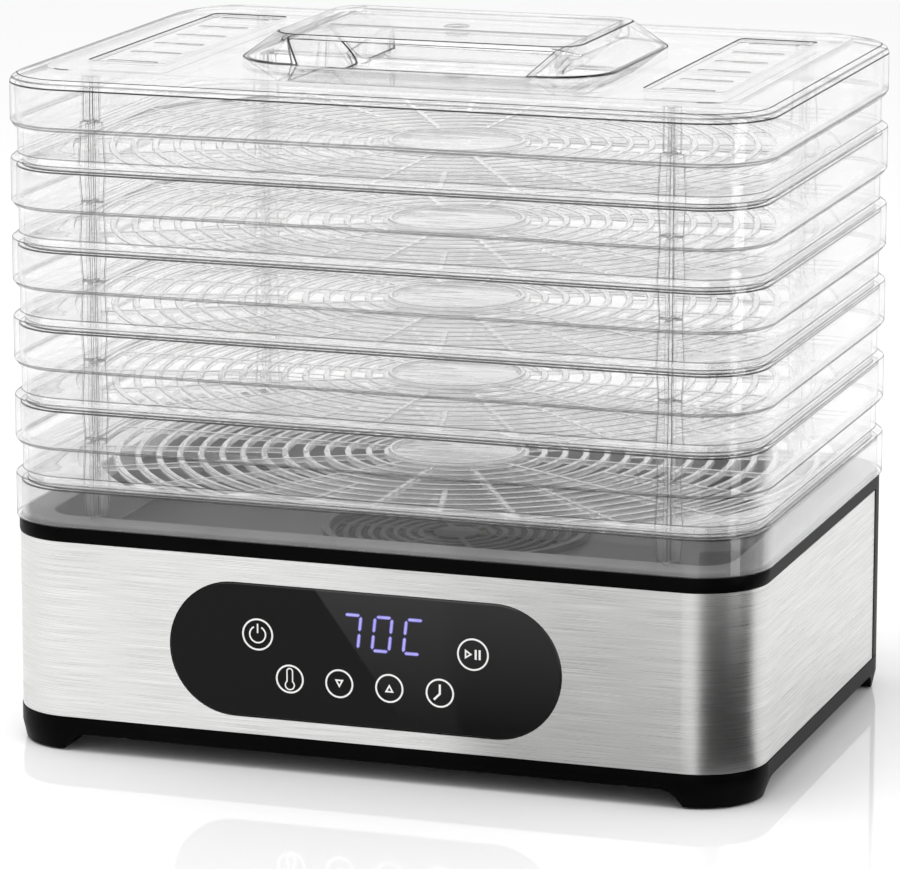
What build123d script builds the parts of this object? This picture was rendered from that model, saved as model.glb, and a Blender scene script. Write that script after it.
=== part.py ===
from build123d import *
import os
from math import cos, radians, sin, tan

# Food dehydrator: five clear stacking trays and a clear lid on a powered base.
# Millimetres. X is the width, -Y the front, +Z up, and the feet stand on Z = 0.

# Clear stack: outline shared by the lid and the trays
stack_width = 330.0
stack_depth = 236.0
stack_corner = 30.0
clear_wall = 2.2
tray_count = 5
tier_pitch = 33.6
seat_gap = 0.3

# Tray wall, levels counted from the lower edge of its skirt
skirt_height = 18.4
shoulder_rise = 2.4
narrow_inset = 3.0
flare_rise = 2.7
flare_inset = 0.4
lip_height = 2.8
lip_wall = 1.5
lip_clearance = 0.5

# Tray floor: a smooth hub with rings of slots round it
floor_drop = 2.8
floor_thickness = 2.0
border_width = 2.3
slot_margin = 4.0
hub_radius = 30.0
hub_rim_wall = 2.0
hub_rim_height = 1.2
hub_slot_gap = 5.0
sector_count = 12
ring_pitch = 16.0
slot_width = 8.5
sector_rib = 5.0
smallest_slot = 55.0

# Cross-shaped posts that stand on each other through the stack
post_side_gap = 40.0
post_wall_gap = 16.0
post_width = 12.0
post_end_width = 10.0
post_blade = 1.8
post_pad_lip = 0.3
stub_level = 2.0

# Lid, levels counted from the lower edge of its skirt
lid_side = 16.8
lid_edge_inset = 0.9
lid_edge_rise = 2.0
lid_shoulder_inset = 3.2
lid_shoulder_rise = 3.5
lid_top_inset = 16.0
lid_top_rise = 2.7
lid_post_width = 7.7

# Lid vents: two recessed panels, each with a row of slots
vent_side_gap = 44.0
vent_margin = 5.75
vent_end_margin = 6.0
vent_recess = 1.0
vent_plate = 2.0
vent_slot_count = 6
vent_slot_pitch = 26.4
vent_slot_length = 22.5
vent_slot_width = 4.0

# Moulded handle on the lid: a raised hip with a finger scoop at the front and the back
handle_vent_gap = 22.0
handle_base_depth = 120.0
handle_base_corner = 26.0
handle_side_flare = 15.0
handle_front_flare = 14.0
handle_top_corner = 12.0
handle_rise = 10.8
handle_wall = 2.0
scoop_side = 7.0
scoop_lean = 17.0
scoop_depth = 7.0
scoop_slope = 18.0
scoop_fillet = 6.0
scoop_web = 2.4

# Powered base, from the feet up
base_set_back = 1.0
base_wall = 2.5
foot_rise = 8.0
cover_plate = 2.5
cover_skirt = 7.0
rim_height = 6.0
rim_step = 2.0

# Steel wrap round the front and the sides
steel_thickness = 0.8
steel_inset = 0.3
steel_gap = 0.2
steel_end = 32.0

# Deck on top of the base
ledge_inset = 15.0
well_depth = 20.0
well_draft = 2.0
well_weld = 0.5
deck_wall = 2.5
outlet_radius = 55.0
outlet_seat = 3.0
outlet_seat_thickness = 1.0
outlet_collar_wall = 3.0
outlet_collar_height = 3.0
column_radius = 4.0
column_inset = 8.4
column_foot_gap = 20.5
pilot_depth = 18.0

# Outlet grille
grille_clearance = 0.3
grille_hub = 10.0
grille_bar = 2.4
grille_ring_pitch = 5.4
grille_spokes = 6

# Feet and air inlet of the bottom cover
foot_length = 33.5
foot_slant = 5.5
foot_bend = 10.5
foot_width = 20.0
foot_draft = 1.6
pad_radius = 6.8
pad_clearance = 0.2
pad_height = 2.0
pad_proud = 0.8
inlet_radius = 50.0
inlet_slot = 4.0
inlet_pitch = 9.0
inlet_post_gap = 10.0

# Control panel, with places on it counted from its centre
panel_width = 171.0
panel_height = 57.0
panel_x = -1.2
panel_rise = 7.7
panel_proud = 0.5
lens_thickness = 2.2
lens_chamfer = 0.6
lens_clearance = 0.3
carrier_flange = 2.0
carrier_overlap = 4.0
key_radius = 3.0
key_clearance = 0.6
key_places = [(-46.4, 7.2), (47.7, 6.6), (-32.3, -10.7), (-10.5, -10.8), (11.4, -10.9), (33.4, -11.0)]
display_place = (9.2, 11.8)
display_width = 44.0
display_height = 20.0
display_clearance = 0.5
board_gap = 8.0
board_thickness = 1.6
board_side = 10.5
board_edge = 5.5
pillar_radius = 3.0
pillar_side = 7.0
pillar_edge = 6.0
screw_radius = 1.4
screw_head_radius = 2.8
screw_head = 1.8
screw_length = 7.0

# Power board on the bottom cover, with its parts counted from its centre
power_wall_gap = 24.0
power_y = 12.0
power_width = 76.0
power_depth = 84.0
standoff_height = 7.5
standoff_radius = 3.2
standoff_margin = 5.0
transformer_place = (-14.0, -18.0)
transformer_size = (26.0, 22.0, 20.0)
relay_place = (16.0, -20.0)
relay_size = (20.0, 16.0, 16.0)
terminal_place = (0.0, 28.0)
terminal_size = (40.0, 11.0, 13.0)
capacitor_place = (18.0, 6.0)
capacitor_radius = 6.5
capacitor_height = 21.0

# Shaded-pole motor on the vertical axis
motor_rise = 15.5
core_width = 60.0
core_height = 16.0
core_nose = 10.5
core_leg = 15.0
rotor_radius = 10.0
rotor_overhang = 1.0
air_gap = 0.5
window_width = 36.0
window_depth = 16.0
window_wall = 7.5
winding_wall = 7.0
winding_side_gap = 3.0
winding_fit = 0.3
shaft_radius = 2.0
shaft_fit = 0.04
shaft_tail = 2.75
shaft_proud = 1.0
bush_radius = 5.0
bush_height = 5.0
bracket_thickness = 1.5
bracket_depth = 14.0
bracket_rise = 4.0
bracket_leg = 2.0
bracket_ear = 4.0
motor_post_gap = 6.0
motor_post_radius = 4.0
motor_screw_radius = 1.5
motor_screw_head = 2.0
motor_screw_head_radius = 3.0
motor_screw_depth = 7.0

# Fan
fan_tip_gap = 9.2
fan_hub_radius = 13.0
fan_hub_height = 9.0
fan_gap = 0.8
blade_count = 7
blade_thickness = 1.4
blade_root_chord = 12.0
blade_tip_chord = 17.0
blade_root_angle = 38.0
blade_tip_angle = 24.0

# Heater under the outlet
duct_margin = 1.0
duct_wall = 0.8
duct_flange = 6.0
duct_gap = 1.0
mica_thickness = 1.0
mica_height = 9.0
mica_fan_gap = 3.0
mica_grille_gap = 4.45
mica_end_gap = 0.2
tab_width = 6.0
tab_reach = 4.0
heat_coil_radius = 2.5
heat_coil_margin = 11.2
heat_coil_step = 14.0
fuse_radius = 2.0
fuse_length = 8.0
fuse_gap = 9.5
thermostat_radius = 8.0
thermostat_height = 5.0
thermostat_gap = 4.0
sensor_radius = 2.5
sensor_length = 12.0
sensor_gap = 7.5

# Cord inlet in the rear wall
gland_x = -70.0
gland_rise = 17.0
gland_bore = 3.6
gland_wall = 2.4
gland_lip = 2.5
gland_flange = 1.0

# How far a cutting body reaches past the face that it cuts
cut_margin = 1.0

# Plan sizes that follow from the sizes above
floor_border = narrow_inset + clear_wall + border_width
post_x = stack_width / 2 - post_side_gap
post_y = stack_depth / 2 - post_wall_gap
post_pad = post_width + 2 * post_pad_lip
vent_width = vent_slot_length + 2 * vent_margin
vent_length = (vent_slot_count - 1) * vent_slot_pitch + vent_slot_width + 2 * vent_end_margin
vent_x = stack_width / 2 - vent_side_gap
handle_base_width = 2 * (vent_x - vent_width / 2 - handle_vent_gap)
handle_top_width = handle_base_width - 2 * handle_side_flare
handle_top_depth = handle_base_depth - 2 * handle_front_flare
scoop_width = handle_top_width - 2 * scoop_side
scoop_floor_width = scoop_width - 2 * scoop_lean
base_width = stack_width - 2 * base_set_back
base_depth = stack_depth - 2 * base_set_back
base_corner = stack_corner - base_set_back
steel_face = steel_inset + steel_thickness
frame_inset = steel_face + base_wall
collar_inset = clear_wall + lip_clearance - base_set_back
well_inset = ledge_inset + well_draft
floor_inset = well_inset + well_weld
column_x = base_width / 2 - foot_length - column_foot_gap
column_y = base_depth / 2 - column_inset
column_side_x = base_width / 2 - column_inset
column_points = [(sx * column_x, sy * column_y) for sx in (-1, 1) for sy in (-1, 1)]
column_points += [(sx * column_side_x, 0.0) for sx in (-1, 1)]
base_front = -base_depth / 2
frame_front = base_front + steel_face
frame_back_face = base_front + frame_inset
lens_face = base_front + steel_inset - panel_proud
lens_back = lens_face + lens_thickness
board_front = frame_back_face + carrier_flange + board_gap
power_x = -(base_width / 2 - power_wall_gap - power_width / 2)
motor_post_x = core_width / 2 + motor_post_gap
window_front = rotor_radius + air_gap + window_wall
window_rear = window_front + window_depth
core_front = -(rotor_radius + air_gap + core_nose)
core_rear = window_rear + core_leg
duct_radius = outlet_radius + duct_margin
duct_inner = duct_radius - duct_wall
flange_radius = duct_radius + duct_flange
fan_radius = duct_inner - fan_tip_gap
outer_loop = duct_inner - heat_coil_margin
inner_loop = outer_loop - heat_coil_step
thermostat_x = flange_radius + thermostat_gap + thermostat_radius
sensor_y = flange_radius + sensor_gap + sensor_radius
gland_radius = gland_bore + gland_wall

# Levels, from the feet up through the motor, the fan and the heater to the lid
foot_bottom = pad_proud
cover_top = foot_rise + cover_plate
skirt_top = foot_rise + cover_skirt
core_bottom = cover_top + motor_rise
core_top = core_bottom + core_height
bracket_low = core_bottom - bracket_rise
bracket_top = core_top + bracket_rise
lower_bush = bracket_low - bracket_thickness / 2 - bush_height / 2
upper_bush = bracket_top + bracket_thickness / 2 - bush_height / 2
duct_bottom = core_top + winding_wall + duct_gap
fan_low = upper_bush + bush_height + fan_gap
fan_high = fan_low + fan_hub_height
shaft_bottom = lower_bush - shaft_tail
shaft_top = fan_high + shaft_proud
mica_bottom = shaft_top + mica_fan_gap
mica_top = mica_bottom + mica_height
mica_middle = mica_bottom + mica_height / 2
deck_under = mica_top + mica_grille_gap
well_floor = deck_under + deck_wall
ledge_top = well_floor + well_depth
rim_top = ledge_top - stub_level
rim_seat = rim_top - rim_step
steel_top = rim_top - rim_height
panel_z = skirt_top + panel_rise + panel_height / 2
gland_z = skirt_top + gland_rise
floor_level = skirt_height - floor_drop
tray_floor_top = floor_level + floor_thickness
tray_rim = tier_pitch - seat_gap
lid_shoulder = lid_side + lid_shoulder_rise
lid_top = lid_shoulder + lid_top_rise
stack_bottom = rim_top + seat_gap
lid_level = stack_bottom + tray_count * tier_pitch
lid_plate_top = lid_level + lid_top
lid_plate_under = lid_plate_top - clear_wall
handle_top = lid_plate_top + handle_rise


def ring_wall(section, width, depth, corner):
    """A wall section carried round a rounded rectangle: inset from the outline, then level."""
    outline = Polyline(*[(corner - inset, level) for inset, level in section], close=True)
    face = make_face(Plane.XZ * outline)
    half_x = width / 2 - corner
    half_y = depth / 2 - corner
    quarter = revolve(face, Axis.Z, 90)
    side_run = extrude(face, half_y, dir=(0, 1, 0), both=True)
    front_run = extrude(face, half_x, dir=(0, 1, 0), both=True)
    pieces = [
        Pos(half_x, 0, 0) * side_run,
        Pos(-half_x, 0, 0) * Rot(0, 0, 180) * side_run,
        Pos(0, half_y, 0) * Rot(0, 0, 90) * front_run,
        Pos(0, -half_y, 0) * Rot(0, 0, -90) * front_run,
    ]
    for turn, (sx, sy) in enumerate([(1, 1), (-1, 1), (-1, -1), (1, -1)]):
        pieces.append(Pos(sx * half_x, sy * half_y, 0) * Rot(0, 0, 90 * turn) * quarter)
    return Part() + pieces


def plate(sketch, low, high):
    """A flat sketch raised from one level to another."""
    return extrude(Pos(0, 0, low) * sketch, high - low)


def inset_outline(width, depth, corner, inset):
    return RectangleRounded(width - 2 * inset, depth - 2 * inset, corner - inset)


def rod(radius, low, high, x=0.0, y=0.0):
    """An upright cylinder between two levels."""
    return Pos(x, y, low) * extrude(Circle(radius), high - low)


def block(x0, x1, y0, y1, z0, z1):
    """A box given by its six faces."""
    centre = Pos((x0 + x1) / 2, (y0 + y1) / 2, (z0 + z1) / 2)
    return centre * Box(x1 - x0, y1 - y0, z1 - z0)


def front_plate(sketch, front, back):
    """A sketch in X and Z, solid between two depths measured along Y."""
    plane = Plane(origin=(0, front, 0), x_dir=(1, 0, 0), z_dir=(0, -1, 0))
    return extrude(plane * sketch, front - back)


def front_rod(radius, front, back, x, z):
    """A cylinder along Y."""
    return front_plate(Pos(x, z) * Circle(radius), front, back)


# Trays

def tray_frame():
    """Wide skirt, stepped-in wall, flared rim and locating lip, with the solid border of the floor."""
    inner = narrow_inset + clear_wall
    lip_out = clear_wall + lip_clearance
    lip_in = lip_out + lip_wall
    flare_start = tray_rim - flare_rise
    section = [
        (0, 0),
        (0, skirt_height),
        (narrow_inset, skirt_height + shoulder_rise),
        (narrow_inset, flare_start),
        (flare_inset, tray_rim),
        (lip_out, tray_rim),
        (lip_out, tray_rim + lip_height),
        (lip_in, tray_rim + lip_height),
        (lip_in, tray_rim),
        (inner, flare_start),
        (inner, tray_floor_top),
        (floor_border, tray_floor_top),
        (floor_border, floor_level),
        (clear_wall, floor_level),
        (clear_wall, 0),
    ]
    return ring_wall(section, stack_width, stack_depth, stack_corner)


def ring_slots():
    """Slots on rings round the hub, split by radial ribs and clipped to the floor."""
    margin = floor_border + slot_margin
    field = inset_outline(stack_width, stack_depth, stack_corner, margin)
    for x in (-post_x, post_x):
        for y in (-post_y, post_y):
            field -= Pos(x, y) * Rectangle(post_pad + 2 * slot_margin, post_pad + 2 * slot_margin)
    half_sector = radians(180.0 / sector_count)
    half_rib = sector_rib / 2 / cos(half_sector)
    first_ring = hub_radius + hub_slot_gap
    ring_count = int((stack_width / 2 - first_ring) // ring_pitch) + 1
    slots = []
    for ring in range(ring_count):
        near = first_ring + ring * ring_pitch
        far = near + slot_width
        near_half = near * tan(half_sector) - half_rib
        far_half = far * tan(half_sector) - half_rib
        corners = [(near, -near_half), (far, -far_half), (far, far_half), (near, near_half)]
        shape = make_face(Polyline(*corners, close=True))
        for sector in range(sector_count):
            angle = (sector + 0.5) * 360.0 / sector_count
            clipped = (Rot(0, 0, angle) * shape) & field
            if clipped is None:
                continue
            slots += [face for face in clipped.faces() if face.area > smallest_slot]
    return slots


def tray_grid():
    """The slotted floor inside the border, with a low rim round the smooth hub in the middle."""
    floor = inset_outline(stack_width, stack_depth, stack_corner, floor_border)
    floor -= ring_slots()
    for x in (-post_x, post_x):
        for y in (-post_y, post_y):
            floor -= Pos(x, y) * Rectangle(post_pad, post_pad)
    rim = Circle(hub_radius) - Circle(hub_radius - hub_rim_wall)
    rim_level = tray_floor_top + hub_rim_height
    return plate(floor, floor_level, tray_floor_top) + plate(rim, floor_level, rim_level)


def cross_post(section):
    """Two crossed blades that follow one outline of half widths and levels."""
    right = [(half, level) for half, level in section]
    left = [(-half, level) for half, level in reversed(section)]
    face = make_face(Plane.XZ * Polyline(*(right + left), close=True))
    blade = extrude(face, post_blade / 2, dir=(0, 1, 0), both=True)
    return blade + Rot(0, 0, 90) * blade


def tray_post():
    section = [
        (post_end_width / 2, stub_level),
        (post_width / 2, floor_level),
        (post_width / 2, tray_floor_top),
        (post_end_width / 2, tier_pitch + stub_level - seat_gap),
    ]
    pad = block(-post_pad / 2, post_pad / 2, -post_pad / 2, post_pad / 2, floor_level, tray_floor_top)
    return cross_post(section) + pad


def at_posts(shape):
    return [Pos(x, y, 0) * shape for x in (-post_x, post_x) for y in (-post_y, post_y)]


# Lid

def lid_shell():
    """Skirt, rounded shoulder and top plate, open where the handle and the vents go."""
    section = [
        (0, 0),
        (0, lid_side),
        (lid_edge_inset, lid_side + lid_edge_rise),
        (lid_shoulder_inset, lid_shoulder),
        (lid_top_inset, lid_top),
        (lid_top_inset, lid_top - clear_wall),
        (lid_shoulder_inset + lid_edge_inset, lid_shoulder - clear_wall),
        (clear_wall, lid_side - lid_edge_inset),
        (clear_wall, 0),
    ]
    wall = ring_wall(section, stack_width, stack_depth, stack_corner)
    top = inset_outline(stack_width, stack_depth, stack_corner, lid_top_inset)
    top -= RectangleRounded(handle_base_width, handle_base_depth, handle_base_corner)
    for side in (-1, 1):
        top -= Pos(side * vent_x, 0) * Rectangle(vent_width, vent_length)
    return Pos(0, 0, lid_level) * wall + plate(top, lid_plate_under, lid_plate_top)


def lid_vent_panels():
    panel = Rectangle(vent_width, vent_length)
    for row in range(vent_slot_count):
        y = (row - (vent_slot_count - 1) / 2) * vent_slot_pitch
        panel -= Pos(0, y) * Rectangle(vent_slot_length, vent_slot_width)
    high = lid_plate_top - vent_recess
    return [Pos(side * vent_x, 0, 0) * plate(panel, high - vent_plate, high) for side in (-1, 1)]


def scoop_outline(grow):
    """Side view of the front scoop in Y and Z, grown by a wall thickness."""
    front = -handle_base_depth / 2
    floor = lid_plate_top - scoop_depth - grow
    web_face = -scoop_web / 2 + grow
    high = handle_top - handle_wall + grow
    outer = front - scoop_slope
    points = [
        (web_face, high),
        (web_face, floor),
        (front + scoop_slope, floor),
        (front, lid_plate_top - grow),
        (outer, lid_plate_top - grow),
        (outer, high),
    ]
    sketch = make_face(Polyline(*points, close=True))
    bend = sketch.vertices().sort_by_distance((web_face, floor))[0]
    return fillet(bend, scoop_fillet + grow)


def scoop_body(grow):
    """Front scoop, grown by a wall thickness, with both ends leaning in towards its floor."""
    from_side = Plane(origin=(0, 0, 0), x_dir=(0, 1, 0), z_dir=(1, 0, 0))
    trough = extrude(from_side * scoop_outline(grow), scoop_width / 2 + grow, both=True)
    floor = lid_plate_top - scoop_depth - grow
    low_half = scoop_floor_width / 2 + grow
    high_half = scoop_width / 2 + grow
    ends = [(-low_half, floor), (low_half, floor), (high_half, handle_top), (-high_half, handle_top)]
    from_front = Plane(origin=(0, 0, 0), x_dir=(1, 0, 0), z_dir=(0, -1, 0))
    taper = make_face(Polyline(*ends, close=True))
    return trough & extrude(from_front * taper, handle_base_depth, both=True)


def hip(inset, low, high):
    base = inset_outline(handle_base_width, handle_base_depth, handle_base_corner, inset)
    top = inset_outline(handle_top_width, handle_top_depth, handle_top_corner, inset)
    return loft([Pos(0, 0, low) * base, Pos(0, 0, high) * top], ruled=True)


def lid_handle():
    """Hollow hip whose top overhangs two finger scoops, with a web between them."""
    outer = hip(0, lid_plate_top, handle_top)
    base = RectangleRounded(handle_base_width, handle_base_depth, handle_base_corner)
    foot = plate(base, lid_plate_under, lid_plate_top)
    room_outline = inset_outline(handle_base_width, handle_base_depth, handle_base_corner, handle_wall)
    room = plate(room_outline, lid_plate_under, lid_plate_top)
    room += hip(handle_wall, lid_plate_top, handle_top - handle_wall)
    shell = outer + foot - room
    bound = outer + plate(base, lid_plate_top - scoop_depth - 2 * handle_wall, lid_plate_top)
    pockets = scoop_body(handle_wall) + Rot(0, 0, 180) * scoop_body(handle_wall)
    body = shell + (pockets & bound)
    scoop = scoop_body(0)
    return body - scoop - Rot(0, 0, 180) * scoop


def lid_stubs(shell):
    half = lid_post_width / 2
    low = lid_level + stub_level
    stub = cross_post([(half, low), (half, lid_plate_under)])
    return [piece - shell for piece in at_posts(stub)]


# Base

def top_deck():
    """Collar and ledge for the lowest tray, and the sloping side of the sunken well."""
    lip_in = collar_inset + deck_wall
    section = [
        (collar_inset, rim_seat),
        (collar_inset, ledge_top),
        (ledge_inset, ledge_top),
        (well_inset, well_floor),
        (floor_inset, well_floor),
        (floor_inset, deck_under),
        (well_inset - deck_wall, deck_under),
        (ledge_inset - deck_wall, ledge_top - deck_wall),
        (lip_in, ledge_top - deck_wall),
        (lip_in, rim_seat),
    ]
    return ring_wall(section, base_width, base_depth, base_corner)


def deck_floor():
    """Floor of the well, with the seat and the collar of the air outlet."""
    floor = inset_outline(base_width, base_depth, base_corner, floor_inset) - Circle(outlet_radius)
    deck = plate(floor, deck_under, well_floor)
    seat = Circle(outlet_radius) - Circle(outlet_radius - outlet_seat)
    deck += plate(seat, deck_under, deck_under + outlet_seat_thickness)
    collar_ring = Circle(outlet_radius + outlet_collar_wall) - Circle(outlet_radius)
    return deck + plate(collar_ring, well_floor, well_floor + outlet_collar_height)


def deck_columns():
    """Screw columns from the bottom cover up to the underside of the ledge."""
    pieces = []
    for x, y in column_points:
        column = rod(column_radius, cover_top, ledge_top - deck_wall, x, y)
        pieces.append(column - rod(screw_radius, cover_top, cover_top + pilot_depth, x, y))
    return pieces


def outlet_grille():
    """Round guard of rings and spokes that lies in the seat of the outlet."""
    rim = outlet_radius - grille_clearance
    guard = Circle(rim) - Circle(rim - grille_bar) + Circle(grille_hub)
    ring_out = rim - grille_bar - (grille_ring_pitch - grille_bar)
    while ring_out - grille_bar > grille_hub + grille_bar:
        guard += Circle(ring_out) - Circle(ring_out - grille_bar)
        ring_out -= grille_ring_pitch
    spoke_length = rim - grille_bar / 2
    for spoke in range(grille_spokes):
        bar = Pos(spoke_length / 2, 0) * Rectangle(spoke_length, grille_bar)
        guard += Rot(0, 0, spoke * 360.0 / grille_spokes) * bar
    return plate(guard, deck_under + outlet_seat_thickness, well_floor)


def control_hole(clearance, front, back):
    hole = SlotOverall(panel_width + 2 * clearance, panel_height + 2 * clearance)
    return front_plate(Pos(panel_x, panel_z) * hole, front, back)


def front_zone():
    """Everything in front of the rear ends of the steel wrap."""
    steel_rear = base_depth / 2 - steel_end
    return block(-base_width, base_width, -base_depth, steel_rear, 0, handle_top)


def base_frame():
    """Plastic wall and rim between the bottom cover and the deck, set back where the steel lies on it."""
    section = [
        (0, skirt_top),
        (0, rim_top),
        (collar_inset, rim_top),
        (collar_inset, rim_seat),
        (frame_inset, rim_seat),
        (frame_inset, skirt_top),
    ]
    frame = ring_wall(section, base_width, base_depth, base_corner)
    out = -cut_margin
    skin = [(out, skirt_top), (out, steel_top), (steel_face, steel_top), (steel_face, skirt_top)]
    frame -= ring_wall(skin, base_width, base_depth, base_corner) & front_zone()
    frame -= control_hole(lens_clearance, base_front, frame_back_face)
    frame -= front_rod(gland_radius, 0, base_depth, gland_x, gland_z)
    return frame


def steel_wrap():
    low = skirt_top + steel_gap
    high = steel_top - steel_gap
    section = [(steel_inset, low), (steel_inset, high), (steel_face, high), (steel_face, low)]
    wrap = ring_wall(section, base_width, base_depth, base_corner) & front_zone()
    return wrap - control_hole(lens_clearance, base_front - cut_margin, frame_front + cut_margin)


def corner_signs():
    return [(sx, sy) for sx in (-1, 1) for sy in (-1, 1)]


def foot_arch(span):
    """Gap between two feet, seen from the side, with slanted ends that bend into the skirt."""
    half = span / 2 - foot_length
    spread = half + foot_slant
    low = foot_bottom
    corners = [(-spread, low), (spread, low), (half, foot_rise), (-half, foot_rise)]
    sketch = make_face(Polyline(*corners, close=True))
    return fillet(sketch.vertices().group_by(Axis.Y)[-1], foot_bend)


def corner_feet():
    """Drafted ring under the skirt, cut into four corner feet by an arch on each side."""
    section = [(0, foot_rise), (foot_draft, foot_bottom), (foot_width, foot_bottom), (foot_width, foot_rise)]
    feet = ring_wall(section, base_width, base_depth, base_corner)
    feet -= front_plate(foot_arch(base_width), -base_depth, base_depth)
    return feet - Rot(0, 0, 90) * front_plate(foot_arch(base_depth), -base_width, base_width)


def pad_point(sx, sy):
    reach = (base_corner - foot_width / 2) * cos(radians(45))
    return sx * (base_width / 2 - base_corner + reach), sy * (base_depth / 2 - base_corner + reach)


def bottom_cover():
    """Skirt, floor plate with the air inlet, four corner feet and the posts for motor and board."""
    skirt = [(0, foot_rise), (0, skirt_top), (base_wall, skirt_top), (base_wall, foot_rise)]
    cover = ring_wall(skirt, base_width, base_depth, base_corner)
    floor = inset_outline(base_width, base_depth, base_corner, base_wall)
    rows_each_way = int((inlet_radius - inlet_pitch) // inlet_pitch)
    for row in range(-rows_each_way, rows_each_way + 1):
        y = row * inlet_pitch
        half = (inlet_radius ** 2 - y ** 2) ** 0.5
        if row == 0:
            half = motor_post_x - motor_post_radius - inlet_post_gap
        floor -= Pos(0, y) * Rectangle(2 * half, inlet_slot)
    for x, y in column_points:
        floor -= Pos(x, y) * Circle(screw_radius)
    cover += plate(floor, foot_rise, cover_top)
    cover += corner_feet()
    for sx, sy in corner_signs():
        cover -= rod(pad_radius + pad_clearance, 0, pad_height, *pad_point(sx, sy))
    for side in (-1, 1):
        post = rod(motor_post_radius, cover_top, bracket_low - bracket_thickness, side * motor_post_x)
        hole_low = bracket_low - bracket_thickness - motor_screw_depth
        cover += post - rod(motor_screw_radius, hole_low, bracket_low, side * motor_post_x)
    for x, y in standoff_points():
        standoff = rod(standoff_radius, cover_top, cover_top + standoff_height, x, y)
        cover += standoff - rod(screw_radius, cover_top, cover_top + standoff_height, x, y)
    return cover


def standoff_points():
    dx = power_width / 2 - standoff_margin
    dy = power_depth / 2 - standoff_margin
    return [(power_x + sx * dx, power_y + sy * dy) for sx, sy in corner_signs()]


def foot_pads():
    return [rod(pad_radius, 0, pad_height, *pad_point(sx, sy)) for sx, sy in corner_signs()]


def cover_screws():
    pieces = []
    for x, y in column_points:
        head = rod(screw_head_radius, foot_rise - screw_head, foot_rise, x, y)
        pieces.append(head + rod(screw_radius, foot_rise, cover_top + pilot_depth, x, y))
    return pieces


# Control panel

def control_lens():
    lens = control_hole(0, lens_face, lens_back)
    front_edges = lens.faces().sort_by(Axis.Y)[0].edges()
    return chamfer(front_edges, lens_chamfer)


def on_panel(place):
    """A place counted from the panel's centre, as X and Z."""
    return panel_x + place[0], panel_z + place[1]


def board_half():
    return panel_width / 2 - board_side, panel_height / 2 - board_edge


def pillar_points():
    half_x, half_z = board_half()
    reach_x = half_x - pillar_side
    reach_z = half_z - pillar_edge
    return [on_panel((sx * reach_x, sz * reach_z)) for sx, sz in corner_signs()]


def lens_carrier():
    """Plastic frame behind the lens: fills the opening, hooks behind the wall, carries the board."""
    body = control_hole(0, lens_back, frame_back_face)
    body += control_hole(carrier_overlap, frame_back_face, frame_back_face + carrier_flange)
    for place in key_places:
        body -= front_rod(key_radius + key_clearance, lens_back, board_front, *on_panel(place))
    window = Rectangle(display_width + 2 * display_clearance, display_height + 2 * display_clearance)
    body -= front_plate(Pos(*on_panel(display_place)) * window, lens_back, board_front)
    for x, z in pillar_points():
        pillar = front_rod(pillar_radius, frame_back_face + carrier_flange, board_front, x, z)
        body += pillar
        body -= front_rod(screw_radius, board_front - screw_length + board_thickness, board_front, x, z)
    return body


def control_board():
    half_x, half_z = board_half()
    shape = Pos(panel_x, panel_z) * Rectangle(2 * half_x, 2 * half_z)
    board = front_plate(shape, board_front, board_front + board_thickness)
    for x, z in pillar_points():
        board -= front_rod(screw_radius, board_front, board_front + board_thickness, x, z)
    return board


def display_module():
    shape = Pos(*on_panel(display_place)) * Rectangle(display_width, display_height)
    return front_plate(shape, lens_back, board_front)


def touch_pads():
    """Conductive foam pillars from the board to the back of the lens, one behind each key."""
    return [front_rod(key_radius, lens_back, board_front, *on_panel(place)) for place in key_places]


def board_screws():
    pieces = []
    back = board_front + board_thickness
    for x, z in pillar_points():
        head = front_rod(screw_head_radius, back, back + screw_head, x, z)
        pieces.append(head + front_rod(screw_radius, back - screw_length, back, x, z))
    top = cover_top + standoff_height + board_thickness
    for x, y in standoff_points():
        head = rod(screw_head_radius, top, top + screw_head, x, y)
        pieces.append(head + rod(screw_radius, top - screw_length, top, x, y))
    return pieces


def power_board():
    low = cover_top + standoff_height
    board = Pos(power_x, power_y) * Rectangle(power_width, power_depth)
    for x, y in standoff_points():
        board -= Pos(x, y) * Circle(screw_radius)
    return plate(board, low, low + board_thickness)


def board_parts():
    """Transformer, relay, terminal block and smoothing capacitor on the power board."""
    level = cover_top + standoff_height + board_thickness
    parts = []
    transformer = (transformer_place, transformer_size)
    relay = (relay_place, relay_size)
    terminal = (terminal_place, terminal_size)
    for place, size in (transformer, relay, terminal):
        outline = Pos(power_x + place[0], power_y + place[1]) * Rectangle(size[0], size[1])
        parts.append(plate(outline, level, level + size[2]))
    x, y = capacitor_place
    parts.append(rod(capacitor_radius, level, level + capacitor_height, power_x + x, power_y + y))
    return parts


# Motor and fan

def motor_stator():
    core = block(-core_width / 2, core_width / 2, core_front, core_rear, core_bottom, core_top)
    core -= rod(rotor_radius + air_gap, core_bottom, core_top)
    half = window_width / 2
    return core - block(-half, half, window_front, window_rear, core_bottom, core_top)


def motor_coil():
    """Winding on the rear leg of the core, through the window and round the outside."""
    half = window_width / 2 - winding_side_gap
    wall = winding_wall
    outer = block(-half, half, window_rear - wall, core_rear + wall, core_bottom - wall, core_top + wall)
    fit = winding_fit
    return outer - block(-half, half, window_rear - fit, core_rear + fit, core_bottom - fit, core_top + fit)


def bearing_bracket(low, leg_low, leg_high, ear):
    half = core_width / 2
    bar_half = half + ear
    bar = block(-bar_half, bar_half, -bracket_depth / 2, bracket_depth / 2, low, low + bracket_thickness)
    for side in (-1, 1):
        inner, outer = sorted((side * half, side * (half - bracket_leg)))
        bar += block(inner, outer, -bracket_depth / 2, bracket_depth / 2, leg_low, leg_high)
    return bar - rod(bush_radius, low, low + bracket_thickness)


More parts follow.
